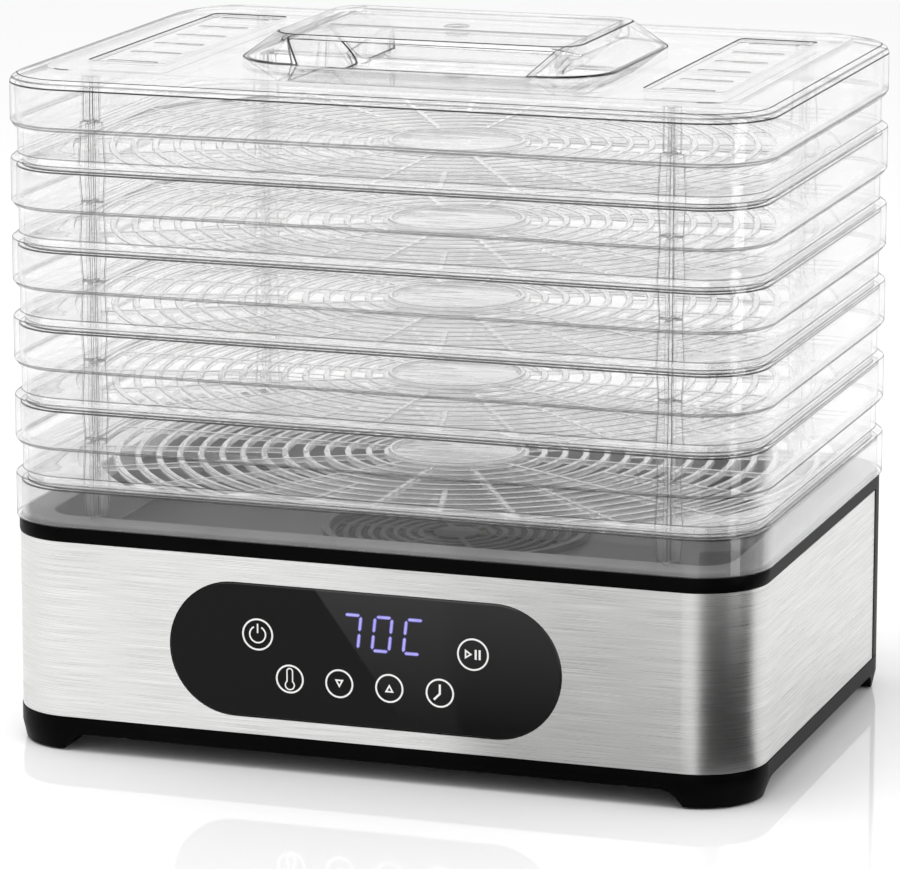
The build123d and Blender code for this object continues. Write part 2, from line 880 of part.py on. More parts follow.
def motor_brackets():
    ear = motor_post_gap + bracket_ear
    upper = bearing_bracket(bracket_top, core_top, bracket_top, 0)
    low = bracket_low - bracket_thickness
    lower = bearing_bracket(low, bracket_low, core_bottom, ear)
    for side in (-1, 1):
        lower -= rod(motor_screw_radius, low, bracket_low, side * motor_post_x)
    return [lower, upper]


def motor_bushes():
    bore = shaft_radius + shaft_fit
    levels = [(low, low + bush_height) for low in (lower_bush, upper_bush)]
    return [rod(bush_radius, low, high) - rod(bore, low, high) for low, high in levels]


def motor_shaft():
    return rod(shaft_radius, shaft_bottom, shaft_top)


def motor_rotor():
    low = core_bottom - rotor_overhang
    high = core_top + rotor_overhang
    return rod(rotor_radius, low, high) - rod(shaft_radius, low, high)


def motor_screws():
    pieces = []
    for side in (-1, 1):
        x = side * motor_post_x
        head = rod(motor_screw_head_radius, bracket_low, bracket_low + motor_screw_head, x)
        low = bracket_low - bracket_thickness - motor_screw_depth
        pieces.append(head + rod(motor_screw_radius, low, bracket_low, x))
    return pieces


def fan_blade():
    """One twisted blade, lofted from a steep root inside the hub to a flatter tip."""
    level = (fan_low + fan_high) / 2
    root_radius = (shaft_radius + fan_hub_radius) / 2
    root = (root_radius, blade_root_chord, blade_root_angle)
    tip = (fan_radius, blade_tip_chord, blade_tip_angle)
    sections = []
    for radius, chord, angle in (root, tip):
        pitch = radians(angle)
        plane = Plane(origin=(radius, 0, level), x_dir=(0, cos(pitch), sin(pitch)), z_dir=(1, 0, 0))
        sections.append(plane * Rectangle(chord, blade_thickness))
    return loft(sections, ruled=True)


def fan_impeller():
    fan = rod(fan_hub_radius, fan_low, fan_high)
    blade = fan_blade()
    for turn in range(blade_count):
        fan += Rot(0, 0, turn * 360.0 / blade_count) * blade
    return fan - rod(shaft_radius, fan_low, fan_high)


# Heater

def heater_duct():
    """Sheet sleeve under the outlet, flanged to the deck, with tabs that carry the mica cross."""
    flange_low = deck_under - duct_wall
    sleeve = rod(duct_radius, duct_bottom, deck_under) + rod(flange_radius, flange_low, deck_under)
    sleeve -= rod(duct_inner, duct_bottom, deck_under)
    half = tab_width / 2
    tab_low = mica_bottom - duct_wall
    tab = block(duct_inner - tab_reach, duct_inner + duct_wall / 2, -half, half, tab_low, mica_bottom)
    for turn in range(4):
        sleeve += Rot(0, 0, 90 * turn) * tab
    return sleeve


def heater_frame():
    """Two mica plates halved into each other."""
    half = duct_inner - mica_end_gap
    edge = mica_thickness / 2
    board = block(-half, half, -edge, edge, mica_bottom, mica_top)
    first = board - block(-edge, edge, -edge, edge, mica_middle, mica_top)
    second = board - block(-edge, edge, -edge, edge, mica_bottom, mica_middle)
    return [first, Rot(0, 0, 90) * second]


def heater_coil(frame):
    """Coiled wire stretched in straight chords from arm to arm of the mica cross."""
    pieces = []
    for loop in (outer_loop, inner_loop):
        for turn in range(4):
            start = Vector(loop, 0, mica_middle).rotate(Axis.Z, 90 * turn)
            end = Vector(loop, 0, mica_middle).rotate(Axis.Z, 90 * (turn + 1))
            run = end - start
            chord = extrude(Plane(origin=start, z_dir=run) * Circle(heat_coil_radius), run.length)
            for board in frame:
                chord -= board
            pieces.append(chord.solids().sort_by(SortBy.VOLUME)[-1])
    return pieces


def thermal_fuse():
    """Fuse on the side of one mica plate, inside the inner loop of the coil."""
    side = mica_thickness / 2 + fuse_radius
    start = inner_loop - fuse_gap - fuse_length
    plane = Plane(origin=(start, side, mica_middle), z_dir=(1, 0, 0))
    return extrude(plane * Circle(fuse_radius), fuse_length)


def thermostat():
    return rod(thermostat_radius, deck_under - thermostat_height, deck_under, thermostat_x)


def temperature_sensor():
    return rod(sensor_radius, deck_under - sensor_length, deck_under, 0, sensor_y)


def cord_gland():
    """Bushed hole for the supply cord in the rear wall."""
    rear = base_depth / 2
    inside = rear - frame_inset
    lip_radius = gland_radius + gland_lip
    body = front_rod(gland_radius, inside, rear, gland_x, gland_z)
    body += front_rod(lip_radius, rear, rear + gland_flange, gland_x, gland_z)
    body += front_rod(lip_radius, inside - gland_flange, inside, gland_x, gland_z)
    return body - front_rod(gland_bore, 0, base_depth, gland_x, gland_z)


def tray_nodes():
    """Three nodes for each tray, numbered from the top: wall, slotted floor and posts."""
    frame = tray_frame()
    grid = tray_grid()
    posts = at_posts(tray_post())
    nodes = {}
    for number in range(1, tray_count + 1):
        lift = Pos(0, 0, stack_bottom + (tray_count - number) * tier_pitch)
        nodes[f"tray_{number}_frame"] = lift * frame
        nodes[f"tray_{number}_grid"] = lift * grid
        nodes[f"tray_{number}_posts"] = [lift * post for post in posts]
    return nodes


def all_nodes():
    shell = lid_shell()
    mica = heater_frame()
    nodes = tray_nodes()
    nodes.update({
        "lid": shell,
        "lid_handle": lid_handle(),
        "lid_vents": lid_vent_panels(),
        "lid_posts": lid_stubs(shell),
        "top_deck": top_deck(),
        "deck_floor": deck_floor(),
        "deck_columns": deck_columns(),
        "outlet_grille": outlet_grille(),
        "base_frame": base_frame(),
        "steel_wrap": steel_wrap(),
        "bottom_cover": bottom_cover(),
        "foot_pads": foot_pads(),
        "cover_screws": cover_screws(),
        "control_lens": control_lens(),
        "lens_carrier": lens_carrier(),
        "control_board": control_board(),
        "display_module": display_module(),
        "touch_pads": touch_pads(),
        "board_screws": board_screws(),
        "power_board": power_board(),
        "board_parts": board_parts(),
        "motor_stator": motor_stator(),
        "motor_coil": motor_coil(),
        "motor_brackets": motor_brackets(),
        "motor_bushes": motor_bushes(),
        "motor_shaft": motor_shaft(),
        "motor_rotor": motor_rotor(),
        "motor_screws": motor_screws(),
        "fan_impeller": fan_impeller(),
        "heater_duct": heater_duct(),
        "heater_frame": mica,
        "heater_coil": heater_coil(mica),
        "thermal_fuse": thermal_fuse(),
        "thermostat": thermostat(),
        "temperature_sensor": temperature_sensor(),
        "cord_gland": cord_gland(),
    })
    return nodes


def solids_of(shape):
    pieces = shape if isinstance(shape, list) else [shape]
    return [solid for piece in pieces for solid in piece.solids()]


os.makedirs("parts", exist_ok=True)
for name, shape in all_nodes().items():
    solids = solids_of(shape)
    node = solids[0] if len(solids) == 1 else Compound(children=solids)
    export_step(node, f"parts/{name}.step")
    print(name, len(solids), "solids")
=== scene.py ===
import bmesh
import bpy
import math
from mathutils import Matrix, Vector


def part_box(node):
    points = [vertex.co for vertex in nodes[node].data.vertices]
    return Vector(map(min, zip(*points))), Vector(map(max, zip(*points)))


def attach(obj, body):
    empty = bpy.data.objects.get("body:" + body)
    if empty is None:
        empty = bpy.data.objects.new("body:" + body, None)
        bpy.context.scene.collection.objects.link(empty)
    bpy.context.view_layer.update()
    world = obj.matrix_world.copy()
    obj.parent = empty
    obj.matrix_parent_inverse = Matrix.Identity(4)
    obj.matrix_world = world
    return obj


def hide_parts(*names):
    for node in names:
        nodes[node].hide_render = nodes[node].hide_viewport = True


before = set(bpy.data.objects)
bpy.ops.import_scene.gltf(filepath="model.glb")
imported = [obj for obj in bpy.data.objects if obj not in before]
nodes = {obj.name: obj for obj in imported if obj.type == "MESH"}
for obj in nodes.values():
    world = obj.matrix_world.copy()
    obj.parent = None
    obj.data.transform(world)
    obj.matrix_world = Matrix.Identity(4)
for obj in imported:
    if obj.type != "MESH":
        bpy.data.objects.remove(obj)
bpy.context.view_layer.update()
scene = bpy.context.scene
mm = 0.001
print("frame loaded,", len(nodes), "nodes")


# small helpers

def linear(hexColour):
    channels = [int(hexColour[i:i + 2], 16) / 255 for i in (1, 3, 5)]
    return tuple(c / 12.92 if c <= 0.04045 else ((c + 0.055) / 1.055) ** 2.4 for c in channels) + (1.0,)


def addNode(tree, kind, settings=None, links=None):
    node = tree.nodes.new(kind)
    for key, value in (settings or {}).items():
        if isinstance(key, str) and hasattr(node, key):
            setattr(node, key, value)
        else:
            node.inputs[key].default_value = value
    for key, source in (links or {}).items():
        tree.links.new(source, node.inputs[key])
    return node


def newMaterial(name):
    material = bpy.data.materials.new(name)
    material.use_nodes = True
    tree = material.node_tree
    tree.nodes.clear()
    output = tree.nodes.new("ShaderNodeOutputMaterial")
    return material, tree, output


def grain(tree, sizeMm, detail=2.0):
    # noise whose features are sizeMm long on X, Y and Z of the part
    coords = addNode(tree, "ShaderNodeTexCoord")
    scale = tuple(1 / (size * mm) for size in sizeMm)
    mapped = addNode(tree, "ShaderNodeMapping", {"Scale": scale}, {"Vector": coords.outputs["Object"]})
    return addNode(
        tree, "ShaderNodeTexNoise", {"Scale": 1.0, "Detail": detail}, {"Vector": mapped.outputs["Vector"]})


noiseSpan = (0.3, 0.7)  # where nearly all of a noise lies


def ranged(tree, source, low, high):
    # the middle of a noise spread over low..high
    spread = addNode(
        tree, "ShaderNodeMapRange",
        {"From Min": noiseSpan[0], "From Max": noiseSpan[1], "To Min": low, "To Max": high},
        {"Value": source})
    return spread.outputs["Result"]


def tinted(tree, source, darkHex, lightHex):
    ramp = addNode(tree, "ShaderNodeValToRGB", links={"Fac": source})
    for stop, place, hexColour in zip(ramp.color_ramp.elements, noiseSpan, (darkHex, lightHex)):
        stop.position = place
        stop.color = linear(hexColour)
    return ramp.outputs["Color"]


# materials, each named for what the real one is, and for the light or shade painted into some of them

mouldedLook = {"cloudMm": (38, 38, 38), "bump": 0.6, "ior": 1.5}


def mouldedPlastic(name, darkHex, lightHex, roughLow, roughHigh, grainMm, bumpMm, gloss=0.5):
    # injection-moulded: an even colour with a slight cloud in it,
    # and a spark-eroded grain that breaks up the gloss
    material, tree, output = newMaterial(name)
    p = mouldedLook
    cloud = grain(tree, p["cloudMm"], detail=3.0)
    fine = grain(tree, (grainMm, grainMm, grainMm), detail=1.0)
    bump = addNode(
        tree, "ShaderNodeBump", {"Strength": p["bump"], "Distance": bumpMm * mm},
        {"Height": fine.outputs["Fac"]})
    bsdf = addNode(
        tree, "ShaderNodeBsdfPrincipled",
        {"IOR": p["ior"], "Specular IOR Level": gloss},
        {"Base Color": tinted(tree, cloud.outputs["Fac"], darkHex, lightHex),
         "Roughness": ranged(tree, fine.outputs["Fac"], roughLow, roughHigh),
         "Normal": bump.outputs["Normal"]})
    tree.links.new(bsdf.outputs["BSDF"], output.inputs["Surface"])
    return material


clearLook = {
    "flowMm": (46, 46, 30), "waviness": 0.25, "waveMm": 0.25, "roughness": 0.02, "ior": 1.45,
    "limbStart": 0.86, "bodyStart": 0.5, "glossRough": 0.04,
    "glossStops": (0.45, 0.8, 0.96), "glossFaceOn": 0.04, "glossEdgeOn": 0.02, "shadeHex": "#f3f3f3",
}


def clearPlastic(name, tintHex, limbHex, share=(0.03, 0.3), clarity=1.0, sheen=0.4):
    # polished clear mouldings: thin walls let most of the view straight through and darken where they are met
    # edge-on; share is the part that bends the view, face-on and edge-on, with a slow waviness from the
    # mould, and sheen is the gloss at a low angle
    c = clearLook
    material, tree, output = newMaterial(name)
    flow = grain(tree, c["flowMm"], detail=1.0)
    bump = addNode(
        tree, "ShaderNodeBump", {"Strength": c["waviness"], "Distance": c["waveMm"] * mm},
        {"Height": flow.outputs["Fac"]})
    bsdf = addNode(
        tree, "ShaderNodeBsdfPrincipled",
        {"Base Color": linear(tintHex), "Roughness": c["roughness"], "IOR": c["ior"],
         "Transmission Weight": clarity},
        {"Normal": bump.outputs["Normal"]})
    slant = addNode(tree, "ShaderNodeLayerWeight", {"Blend": 0.5})
    limb = addNode(tree, "ShaderNodeValToRGB", links={"Fac": slant.outputs["Facing"]})
    stops = limb.color_ramp.elements
    stops[0].position, stops[0].color = c["limbStart"], linear(tintHex)
    stops[1].position, stops[1].color = 1.0, linear(limbHex)
    through = addNode(tree, "ShaderNodeBsdfTransparent", links={"Color": limb.outputs["Color"]})
    body = addNode(
        tree, "ShaderNodeMapRange",
        {"From Min": c["bodyStart"], "From Max": 1.0, "To Min": share[0], "To Max": share[1]},
        {"Value": slant.outputs["Facing"]})
    mixed = addNode(tree, "ShaderNodeMixShader", links={
        0: body.outputs["Result"], 1: through.outputs["BSDF"], 2: bsdf.outputs["BSDF"]})
    gloss = addNode(tree, "ShaderNodeBsdfGlossy", {"Color": linear("#ffffff"), "Roughness": c["glossRough"]})
    mirror = addNode(tree, "ShaderNodeValToRGB", links={"Fac": slant.outputs["Facing"]})
    stops = mirror.color_ramp.elements
    faceOn, low, edgeOn = c["glossStops"]
    stops[0].position, stops[0].color = faceOn, (c["glossFaceOn"],) * 3 + (1,)
    stops[1].position, stops[1].color = edgeOn, (c["glossEdgeOn"],) * 3 + (1,)
    stops.new(low).color = (sheen,) * 3 + (1,)
    mixed = addNode(tree, "ShaderNodeMixShader", links={
        0: mirror.outputs["Color"], 1: mixed.outputs["Shader"], 2: gloss.outputs["BSDF"]})
    # a faint shadow only
    lamps = addNode(tree, "ShaderNodeBsdfTransparent", {"Color": linear(c["shadeHex"])})
    path = addNode(tree, "ShaderNodeLightPath")
    mixed = addNode(tree, "ShaderNodeMixShader", links={
        0: path.outputs["Is Shadow Ray"], 1: mixed.outputs["Shader"], 2: lamps.outputs["BSDF"]})
    tree.links.new(mixed.outputs["Shader"], output.inputs["Surface"])
    return material


steelLook = {"cloudMm": (90, 90, 40), "cloudShare": 0.06, "bump": 0.35, "bumpMm": 0.03, "anisotropy": 0.6}


def brushedSteel(name, darkHex, lightHex, lineMm, runMm, roughLow, roughHigh):
    # stainless sheet brushed level with a belt: long hairlines, dull across the lines and bright along them;
    # real hairlines are about 0.1 mm, drawn coarser so that they show
    material, tree, output = newMaterial(name)
    b = steelLook
    lines = grain(tree, (runMm, runMm, lineMm))
    cloud = grain(tree, b["cloudMm"])
    tone = addNode(tree, "ShaderNodeMix", {"Factor": b["cloudShare"]}, {
        "A": lines.outputs["Fac"], "B": cloud.outputs["Fac"]})
    bump = addNode(
        tree, "ShaderNodeBump", {"Strength": b["bump"], "Distance": b["bumpMm"] * mm},
        {"Height": lines.outputs["Fac"]})
    tangent = addNode(tree, "ShaderNodeTangent", {"direction_type": "RADIAL", "axis": "Z"})
    bsdf = addNode(
        tree, "ShaderNodeBsdfPrincipled", {"Metallic": 1.0, "Anisotropic": b["anisotropy"]},
        {"Base Color": tinted(tree, tone.outputs["Result"], darkHex, lightHex),
         "Roughness": ranged(tree, lines.outputs["Fac"], roughLow, roughHigh),
         "Normal": bump.outputs["Normal"], "Tangent": tangent.outputs["Tangent"]})
    tree.links.new(bsdf.outputs["BSDF"], output.inputs["Surface"])
    return material


def plainMetal(name, darkHex, lightHex, roughLow, roughHigh, grainMm):
    # turned, plated or rolled metal inside the base: a little mottled, with a fine tooth
    material, tree, output = newMaterial(name)
    mottle = grain(tree, (grainMm, grainMm, grainMm), detail=3.0)
    bsdf = addNode(
        tree, "ShaderNodeBsdfPrincipled", {"Metallic": 1.0},
        {"Base Color": tinted(tree, mottle.outputs["Fac"], darkHex, lightHex),
         "Roughness": ranged(tree, mottle.outputs["Fac"], roughLow, roughHigh)})
    tree.links.new(bsdf.outputs["BSDF"], output.inputs["Surface"])
    return material


def printedLensPaintedSheen(name, darkHex, lightHex, lens, gloss):
    # acrylic printed black on its back: deep gloss, and a painted reflection, a lighter smoky tone
    # that starts at a slant and fades downwards
    material, tree, output = newMaterial(name)
    coords = addNode(tree, "ShaderNodeTexCoord")
    along = Vector(lens["sheenEnd"]) - Vector(lens["sheenStart"])
    across = Vector((-along.y, along.x)).normalized()
    start = Vector(lens["centre"]) + Vector(lens["sheenStart"])
    offset = addNode(
        tree, "ShaderNodeVectorMath", {"operation": "SUBTRACT", 1: (start.x * mm, 0, start.y * mm)},
        {0: coords.outputs["Object"]})
    reach = addNode(tree, "ShaderNodeVectorMath", {"operation": "DOT_PRODUCT", 1: (across.x, 0, across.y)}, {
        0: offset.outputs["Vector"]})
    blur = lens["sheenBlur"] * mm
    edge = addNode(tree, "ShaderNodeMapRange", {"From Min": -blur, "From Max": blur}, {
        "Value": reach.outputs["Value"]})
    place = addNode(tree, "ShaderNodeSeparateXYZ", links={0: offset.outputs["Vector"]})
    sheenFade = addNode(tree, "ShaderNodeMapRange", {"From Min": along.y * mm, "From Max": 0.0}, {
        "Value": place.outputs["Z"]})
    tone = addNode(tree, "ShaderNodeMath", {"operation": "MULTIPLY"}, {
        0: edge.outputs["Result"], 1: sheenFade.outputs["Result"]})
    # painted reflection: lighter to one side of the slant and towards the top
    colour = addNode(tree, "ShaderNodeMix", {"data_type": "RGBA", 6: linear(darkHex), 7: linear(lightHex)}, {
        0: tone.outputs["Value"]})
    smear = grain(tree, lens["smearMm"])
    bsdf = addNode(
        tree, "ShaderNodeBsdfPrincipled", {"IOR": lens["ior"], "Specular IOR Level": gloss},
        {"Base Color": colour.outputs[2],
         "Roughness": ranged(tree, smear.outputs["Fac"], *lens["roughness"])})
    tree.links.new(bsdf.outputs["BSDF"], output.inputs["Surface"])
    return material


ledLook = {"cloudMm": (3, 3, 3), "unlitHex": "#20202c", "roughness": 0.3}


def litSegment(name, darkHex, lightHex, strength):
    # LED light behind a printed mask: an even glow with a soft fall-off in it
    material, tree, output = newMaterial(name)
    cloud = grain(tree, ledLook["cloudMm"], detail=1.0)
    bsdf = addNode(
        tree, "ShaderNodeBsdfPrincipled",
        {"Base Color": linear(ledLook["unlitHex"]), "Roughness": ledLook["roughness"],
         "Emission Strength": strength},
        {"Emission Color": tinted(tree, cloud.outputs["Fac"], darkHex, lightHex)})
    tree.links.new(bsdf.outputs["BSDF"], output.inputs["Surface"])
    return material


# the lens: its lighter tone beside the slant is a painted reflection
panelLens = {
    "centre": (-1.2, 51.2), "sheenStart": (-20.1, 27.1), "sheenEnd": (17.3, -24.3), "sheenBlur": 0.4,
    "smearMm": (14, 14, 14), "roughness": (0.08, 0.12), "ior": 1.49,
}
materials = {
    "clear": clearPlastic("clear moulded SAN", "#fefefe", "#505050"),
    # the level top mirrors the white surroundings at a low angle
    "clearTop": clearPlastic("clear moulded SAN lid top", "#fefefe", "#505050", sheen=0.75),
    # painted shade: light is lost in a rounded edge, so a thin dark line is painted there, or a softer one
    # where the edge is blunt
    "clearPaintedEdgeLine": clearPlastic("clear moulded SAN, painted dark edge line", "#444444", "#383838", sheen=0.1),
    "clearPaintedSoftLine": clearPlastic("clear moulded SAN, painted soft edge line", "#acacac", "#787878", sheen=0.15),
    # many small facets scatter the light
    "clearRibs": clearPlastic("clear moulded SAN ribs", "#fafafa", "#707070", (0.3, 0.6), 0.65),
    "steel": brushedSteel("brushed stainless sheet", "#c6c6c5", "#f2f2f1", 0.25, 38, 0.26, 0.34),
    "blackAbs": mouldedPlastic("black moulded ABS", "#030303", "#060606", 0.30, 0.42, 0.5, 0.01, 0.03),
    "greyAbs": mouldedPlastic("grey moulded ABS", "#6e6e6e", "#7c7c7c", 0.4, 0.5, 0.6, 0.01, 0.15),
    # painted shade: the deck's grey ABS, darker where the trays shade the well
    "paintedShadeAbs": mouldedPlastic(
        "grey moulded ABS with painted shade in the well", "#3c3c3c", "#474747", 0.4, 0.5, 0.6, 0.01, 0.12),
    "darkAbs": mouldedPlastic("dark grey moulded ABS", "#242424", "#2a2a2a", 0.45, 0.55, 0.6, 0.01, 0.1),
    # painted reflection: the lighter of the two colours is a sheen painted into the print
    "panel": printedLensPaintedSheen("black printed acrylic lens with painted sheen", "#0b0b0b", "#2e2e2e", panelLens, 0.13),
    "rubber": mouldedPlastic("moulded black rubber", "#141414", "#1e1e1e", 0.7, 0.85, 0.7, 0.03),
    "print": mouldedPlastic("white screen print", "#e6e6e4", "#f2f2f0", 0.4, 0.5, 0.6, 0.002),
    "led": litSegment("lavender LED segment", "#a29cea", "#b0aaf2", 1.0),
    "ledEdge": litSegment("LED segment's dim edge", "#594faa", "#655bb6", 1.0),
    "board": mouldedPlastic("green solder mask", "#0d3a1c", "#145028", 0.25, 0.4, 1.2, 0.02),
    "tintedGlass": mouldedPlastic("tinted display window", "#141418", "#1c1c22", 0.1, 0.2, 2.0, 0.001),
    "foam": mouldedPlastic("conductive foam", "#101010", "#222222", 0.85, 0.95, 0.8, 0.2),
    "component": mouldedPlastic("moulded component case", "#1b1b24", "#262634", 0.4, 0.55, 0.8, 0.02),
    "core": plainMetal("stacked electrical steel", "#3c3c3e", "#58585a", 0.45, 0.6, 1.0),
    "copper": plainMetal("varnished copper wire", "#8a4a26", "#b4683a", 0.25, 0.4, 0.6),
    "zinc": plainMetal("zinc plated sheet", "#9a9da0", "#b6b8ba", 0.3, 0.42, 6.0),
    "bronze": plainMetal("sintered bronze", "#7c5a30", "#9a7442", 0.45, 0.6, 0.5),
    "ground": plainMetal("ground steel", "#a6a6a6", "#c4c4c4", 0.15, 0.25, 2.0),
    "castAluminium": plainMetal("cast aluminium", "#8e8f92", "#a9aaac", 0.35, 0.5, 1.5),
    "fanPlastic": mouldedPlastic("black glass-filled nylon", "#141414", "#202020", 0.45, 0.6, 0.6, 0.02),
    "mica": mouldedPlastic("pressed mica sheet", "#a8977a", "#c4b596", 0.4, 0.6, 3.0, 0.02),
    "wire": plainMetal("oxidised heating wire", "#4c4744", "#6a625c", 0.5, 0.65, 0.8),
    "bakelite": mouldedPlastic("brown bakelite", "#1e120c", "#2e1c12", 0.25, 0.4, 1.0, 0.01),
}

nodeFinish = {
    "steel_wrap": "steel", "base_frame": "blackAbs", "bottom_cover": "blackAbs", "top_deck": "greyAbs",
    # the well's floor and columns take the painted shade
    "deck_floor": "paintedShadeAbs", "deck_columns": "paintedShadeAbs", "outlet_grille": "darkAbs", "foot_pads": "rubber",
    "control_lens": "panel", "lens_carrier": "blackAbs",
    "control_board": "board", "power_board": "board", "display_module": "tintedGlass", "touch_pads": "foam",
    "board_parts": "component", "board_screws": "zinc", "cover_screws": "zinc", "motor_screws": "zinc",
    "motor_stator": "core", "motor_coil": "copper", "motor_brackets": "zinc", "motor_bushes": "bronze",
    "motor_shaft": "ground", "motor_rotor": "castAluminium", "fan_impeller": "fanPlastic",
    "heater_duct": "zinc", "heater_frame": "mica", "heater_coil": "wire", "thermal_fuse": "component",
    "thermostat": "bakelite", "temperature_sensor": "component", "cord_gland": "blackAbs",
}
for name, piece in nodes.items():
    piece.data.materials.clear()
    piece.data.materials.append(materials[nodeFinish.get(name, "clear")])
print("materials set on", len(nodes), "nodes")


# mesh builders, all sizes in millimetres; a clear piece has three finishes by number: plain, and two painted
# dark lines

plainFinish, paintedDarkLine, paintedSoftLine = 0, 1, 2
allAcross = (0, 1000)
smoothTurn = 32  # degrees up to which neighbouring faces shade as one
edgeSlope = (0.15, 0.97)  # how far the faces of a plate's upper edge look up


def softened(points, radius, steps=2):
    # rounds each corner of a closed section by up to radius, within most of the shorter side
    most = 0.45
    rounded = []
    for i, corner in enumerate(points):
        here = Vector(corner)
        before = Vector(points[i - 1]) - here
        after = Vector(points[(i + 1) % len(points)]) - here
        turn = math.pi - before.angle(after)
        reach = min(radius * math.tan(turn / 2), before.length * most, after.length * most)
        start = here + before.normalized() * reach
        end = here + after.normalized() * reach
        for k in range(steps + 1):
            t = k / steps
            rounded.append(tuple(start.lerp(here, t).lerp(here.lerp(end, t), t)))
    return rounded


def pieceFrom(name, mesh, body, finish, slot, *replaced):
    mesh.name = name
    for polygon in mesh.polygons:
        polygon.use_smooth = True
    mesh.set_sharp_from_angle(angle=math.radians(smoothTurn))
    mesh.materials.append(materials[finish])
    if finish in ("clear", "clearTop", "clearRibs"):
        mesh.materials.append(materials["clearPaintedEdgeLine"])
        mesh.materials.append(materials["clearPaintedSoftLine"])
    piece = bpy.data.objects.new(name, mesh)
    scene.collection.objects.link(piece)
    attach(piece, body)
    if replaced:
        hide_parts(*replaced)
    return piece


def keepFlat(piece):
    # large faces keep their own shading, and the small rounded ones take up the turn
    weighted = piece.modifiers.new("flat faces", "WEIGHTED_NORMAL")
    weighted.keep_sharp = True
    weighted.weight = 100


def ringMesh(section, width, depth, corner, drawn=(), steps=14):
    # a closed section (inset, level) carried round a rounded rectangle;
    # drawn gives the finish of each rounded corner, plain or a painted dark line
    mesh = bpy.data.meshes.new("ring")
    form = bmesh.new()
    halfX = width / 2 - corner
    halfY = depth / 2 - corner
    rings = []
    for turn, (sx, sy) in enumerate([(1, 1), (-1, 1), (-1, -1), (1, -1)]):
        for k in range(steps + 1):
            angle = math.radians(90 * (turn + k / steps))
            ring = []
            for inset, level in section:
                reach = corner - inset
                x = sx * halfX + reach * math.cos(angle)
                y = sy * halfY + reach * math.sin(angle)
                ring.append(form.verts.new((x * mm, y * mm, level * mm)))
            rings.append(ring)
    count = len(section)
    for i, ring in enumerate(rings):
        following = rings[(i + 1) % len(rings)]
        for j in range(count):
            k = (j + 1) % count
            face = form.faces.new((ring[j], following[j], following[k], ring[k]))
            if drawn and j % 3 < 2:
                face.material_index = drawn[j // 3]
    bmesh.ops.recalc_face_normals(form, faces=form.faces)
    form.to_mesh(mesh)
    form.free()
    return mesh


def plateMesh(outlines, low, high, edge, drawn=plainFinish, span=allAcross):
    # flat outlines, outer ones and holes, filled and raised from low to high with rounded edges;
    # the upper edges get drawn, a painted line, where their distance from the middle, to the side, is within
    # span
    curve = bpy.data.curves.new("plate", "CURVE")
    curve.dimensions = "2D"
    curve.fill_mode = "BOTH"
    for outline in outlines:
        spline = curve.splines.new("POLY")
        spline.points.add(len(outline) - 1)
        for point, (x, y) in zip(spline.points, outline):
            point.co = (x * mm, y * mm, 0, 1)
        spline.use_cyclic_u = True
    curve.extrude = ((high - low) / 2 - edge) * mm
    curve.bevel_depth = edge * mm
    curve.bevel_resolution = 1
    curve.offset = -edge * mm
    holder = bpy.data.objects.new("plate", curve)
    scene.collection.objects.link(holder)
    bpy.context.view_layer.update()
    evaluated = holder.evaluated_get(bpy.context.evaluated_depsgraph_get())
    mesh = bpy.data.meshes.new_from_object(evaluated)
    bpy.data.objects.remove(holder)
    bpy.data.curves.remove(curve)
    mesh.transform(Matrix.Translation((0, 0, (low + high) / 2 * mm)))
    form = bmesh.new()
    form.from_mesh(mesh)
    bmesh.ops.remove_doubles(form, verts=form.verts, dist=1e-6)
    bmesh.ops.recalc_face_normals(form, faces=form.faces)
    for face in form.faces:
        aside = abs(face.calc_center_median().x) / mm
        onUpperEdge = edgeSlope[0] < face.normal.z < edgeSlope[1]
        if onUpperEdge and span[0] < aside < span[1]:
            face.material_index = drawn
    form.to_mesh(mesh)
    form.free()
    return mesh


def roundedOutline(width, depth, corner, steps=10, centre=(0, 0)):
    points = []
    for turn, (sx, sy) in enumerate([(1, 1), (-1, 1), (-1, -1), (1, -1)]):
        for k in range(steps + 1):
            angle = math.radians(90 * (turn + k / steps))
            points.append((
                centre[0] + sx * (width / 2 - corner) + corner * math.cos(angle),
                centre[1] + sy * (depth / 2 - corner) + corner * math.sin(angle)))
    return points


def clipped(polygon, field):
    # keeps the part of a polygon that lies inside a convex field
    kept = list(polygon)
    for i, a in enumerate(field):
        b = field[(i + 1) % len(field)]
        inside = [(b[0] - a[0]) * (p[1] - a[1]) - (b[1] - a[1]) * (p[0] - a[0]) for p in kept]
        fresh = []
        for j, p in enumerate(kept):
            q = kept[j - 1]
            if (inside[j] >= 0) != (inside[j - 1] >= 0):
                t = inside[j - 1] / (inside[j - 1] - inside[j])
                fresh.append((q[0] + (p[0] - q[0]) * t, q[1] + (p[1] - q[1]) * t))
            if inside[j] >= 0:
                fresh.append(p)
        kept = fresh
        if len(kept) < 3:
            return []
    return kept


def loftMesh(rings):
    # a closed solid through rings of equally many points
    mesh = bpy.data.meshes.new("loft")
    form = bmesh.new()
    rows = [[form.verts.new((x * mm, y * mm, z * mm)) for x, y, z in ring] for ring in rings]
    count = len(rows[0])
    for row, following in zip(rows, rows[1:]):
        for j in range(count):
            k = (j + 1) % count
            form.faces.new((row[j], row[k], following[k], following[j]))
    form.faces.new(rows[0][::-1])
    form.faces.new(rows[-1])
    bmesh.ops.recalc_face_normals(form, faces=form.faces)
    form.to_mesh(mesh)
    form.free()
    return mesh


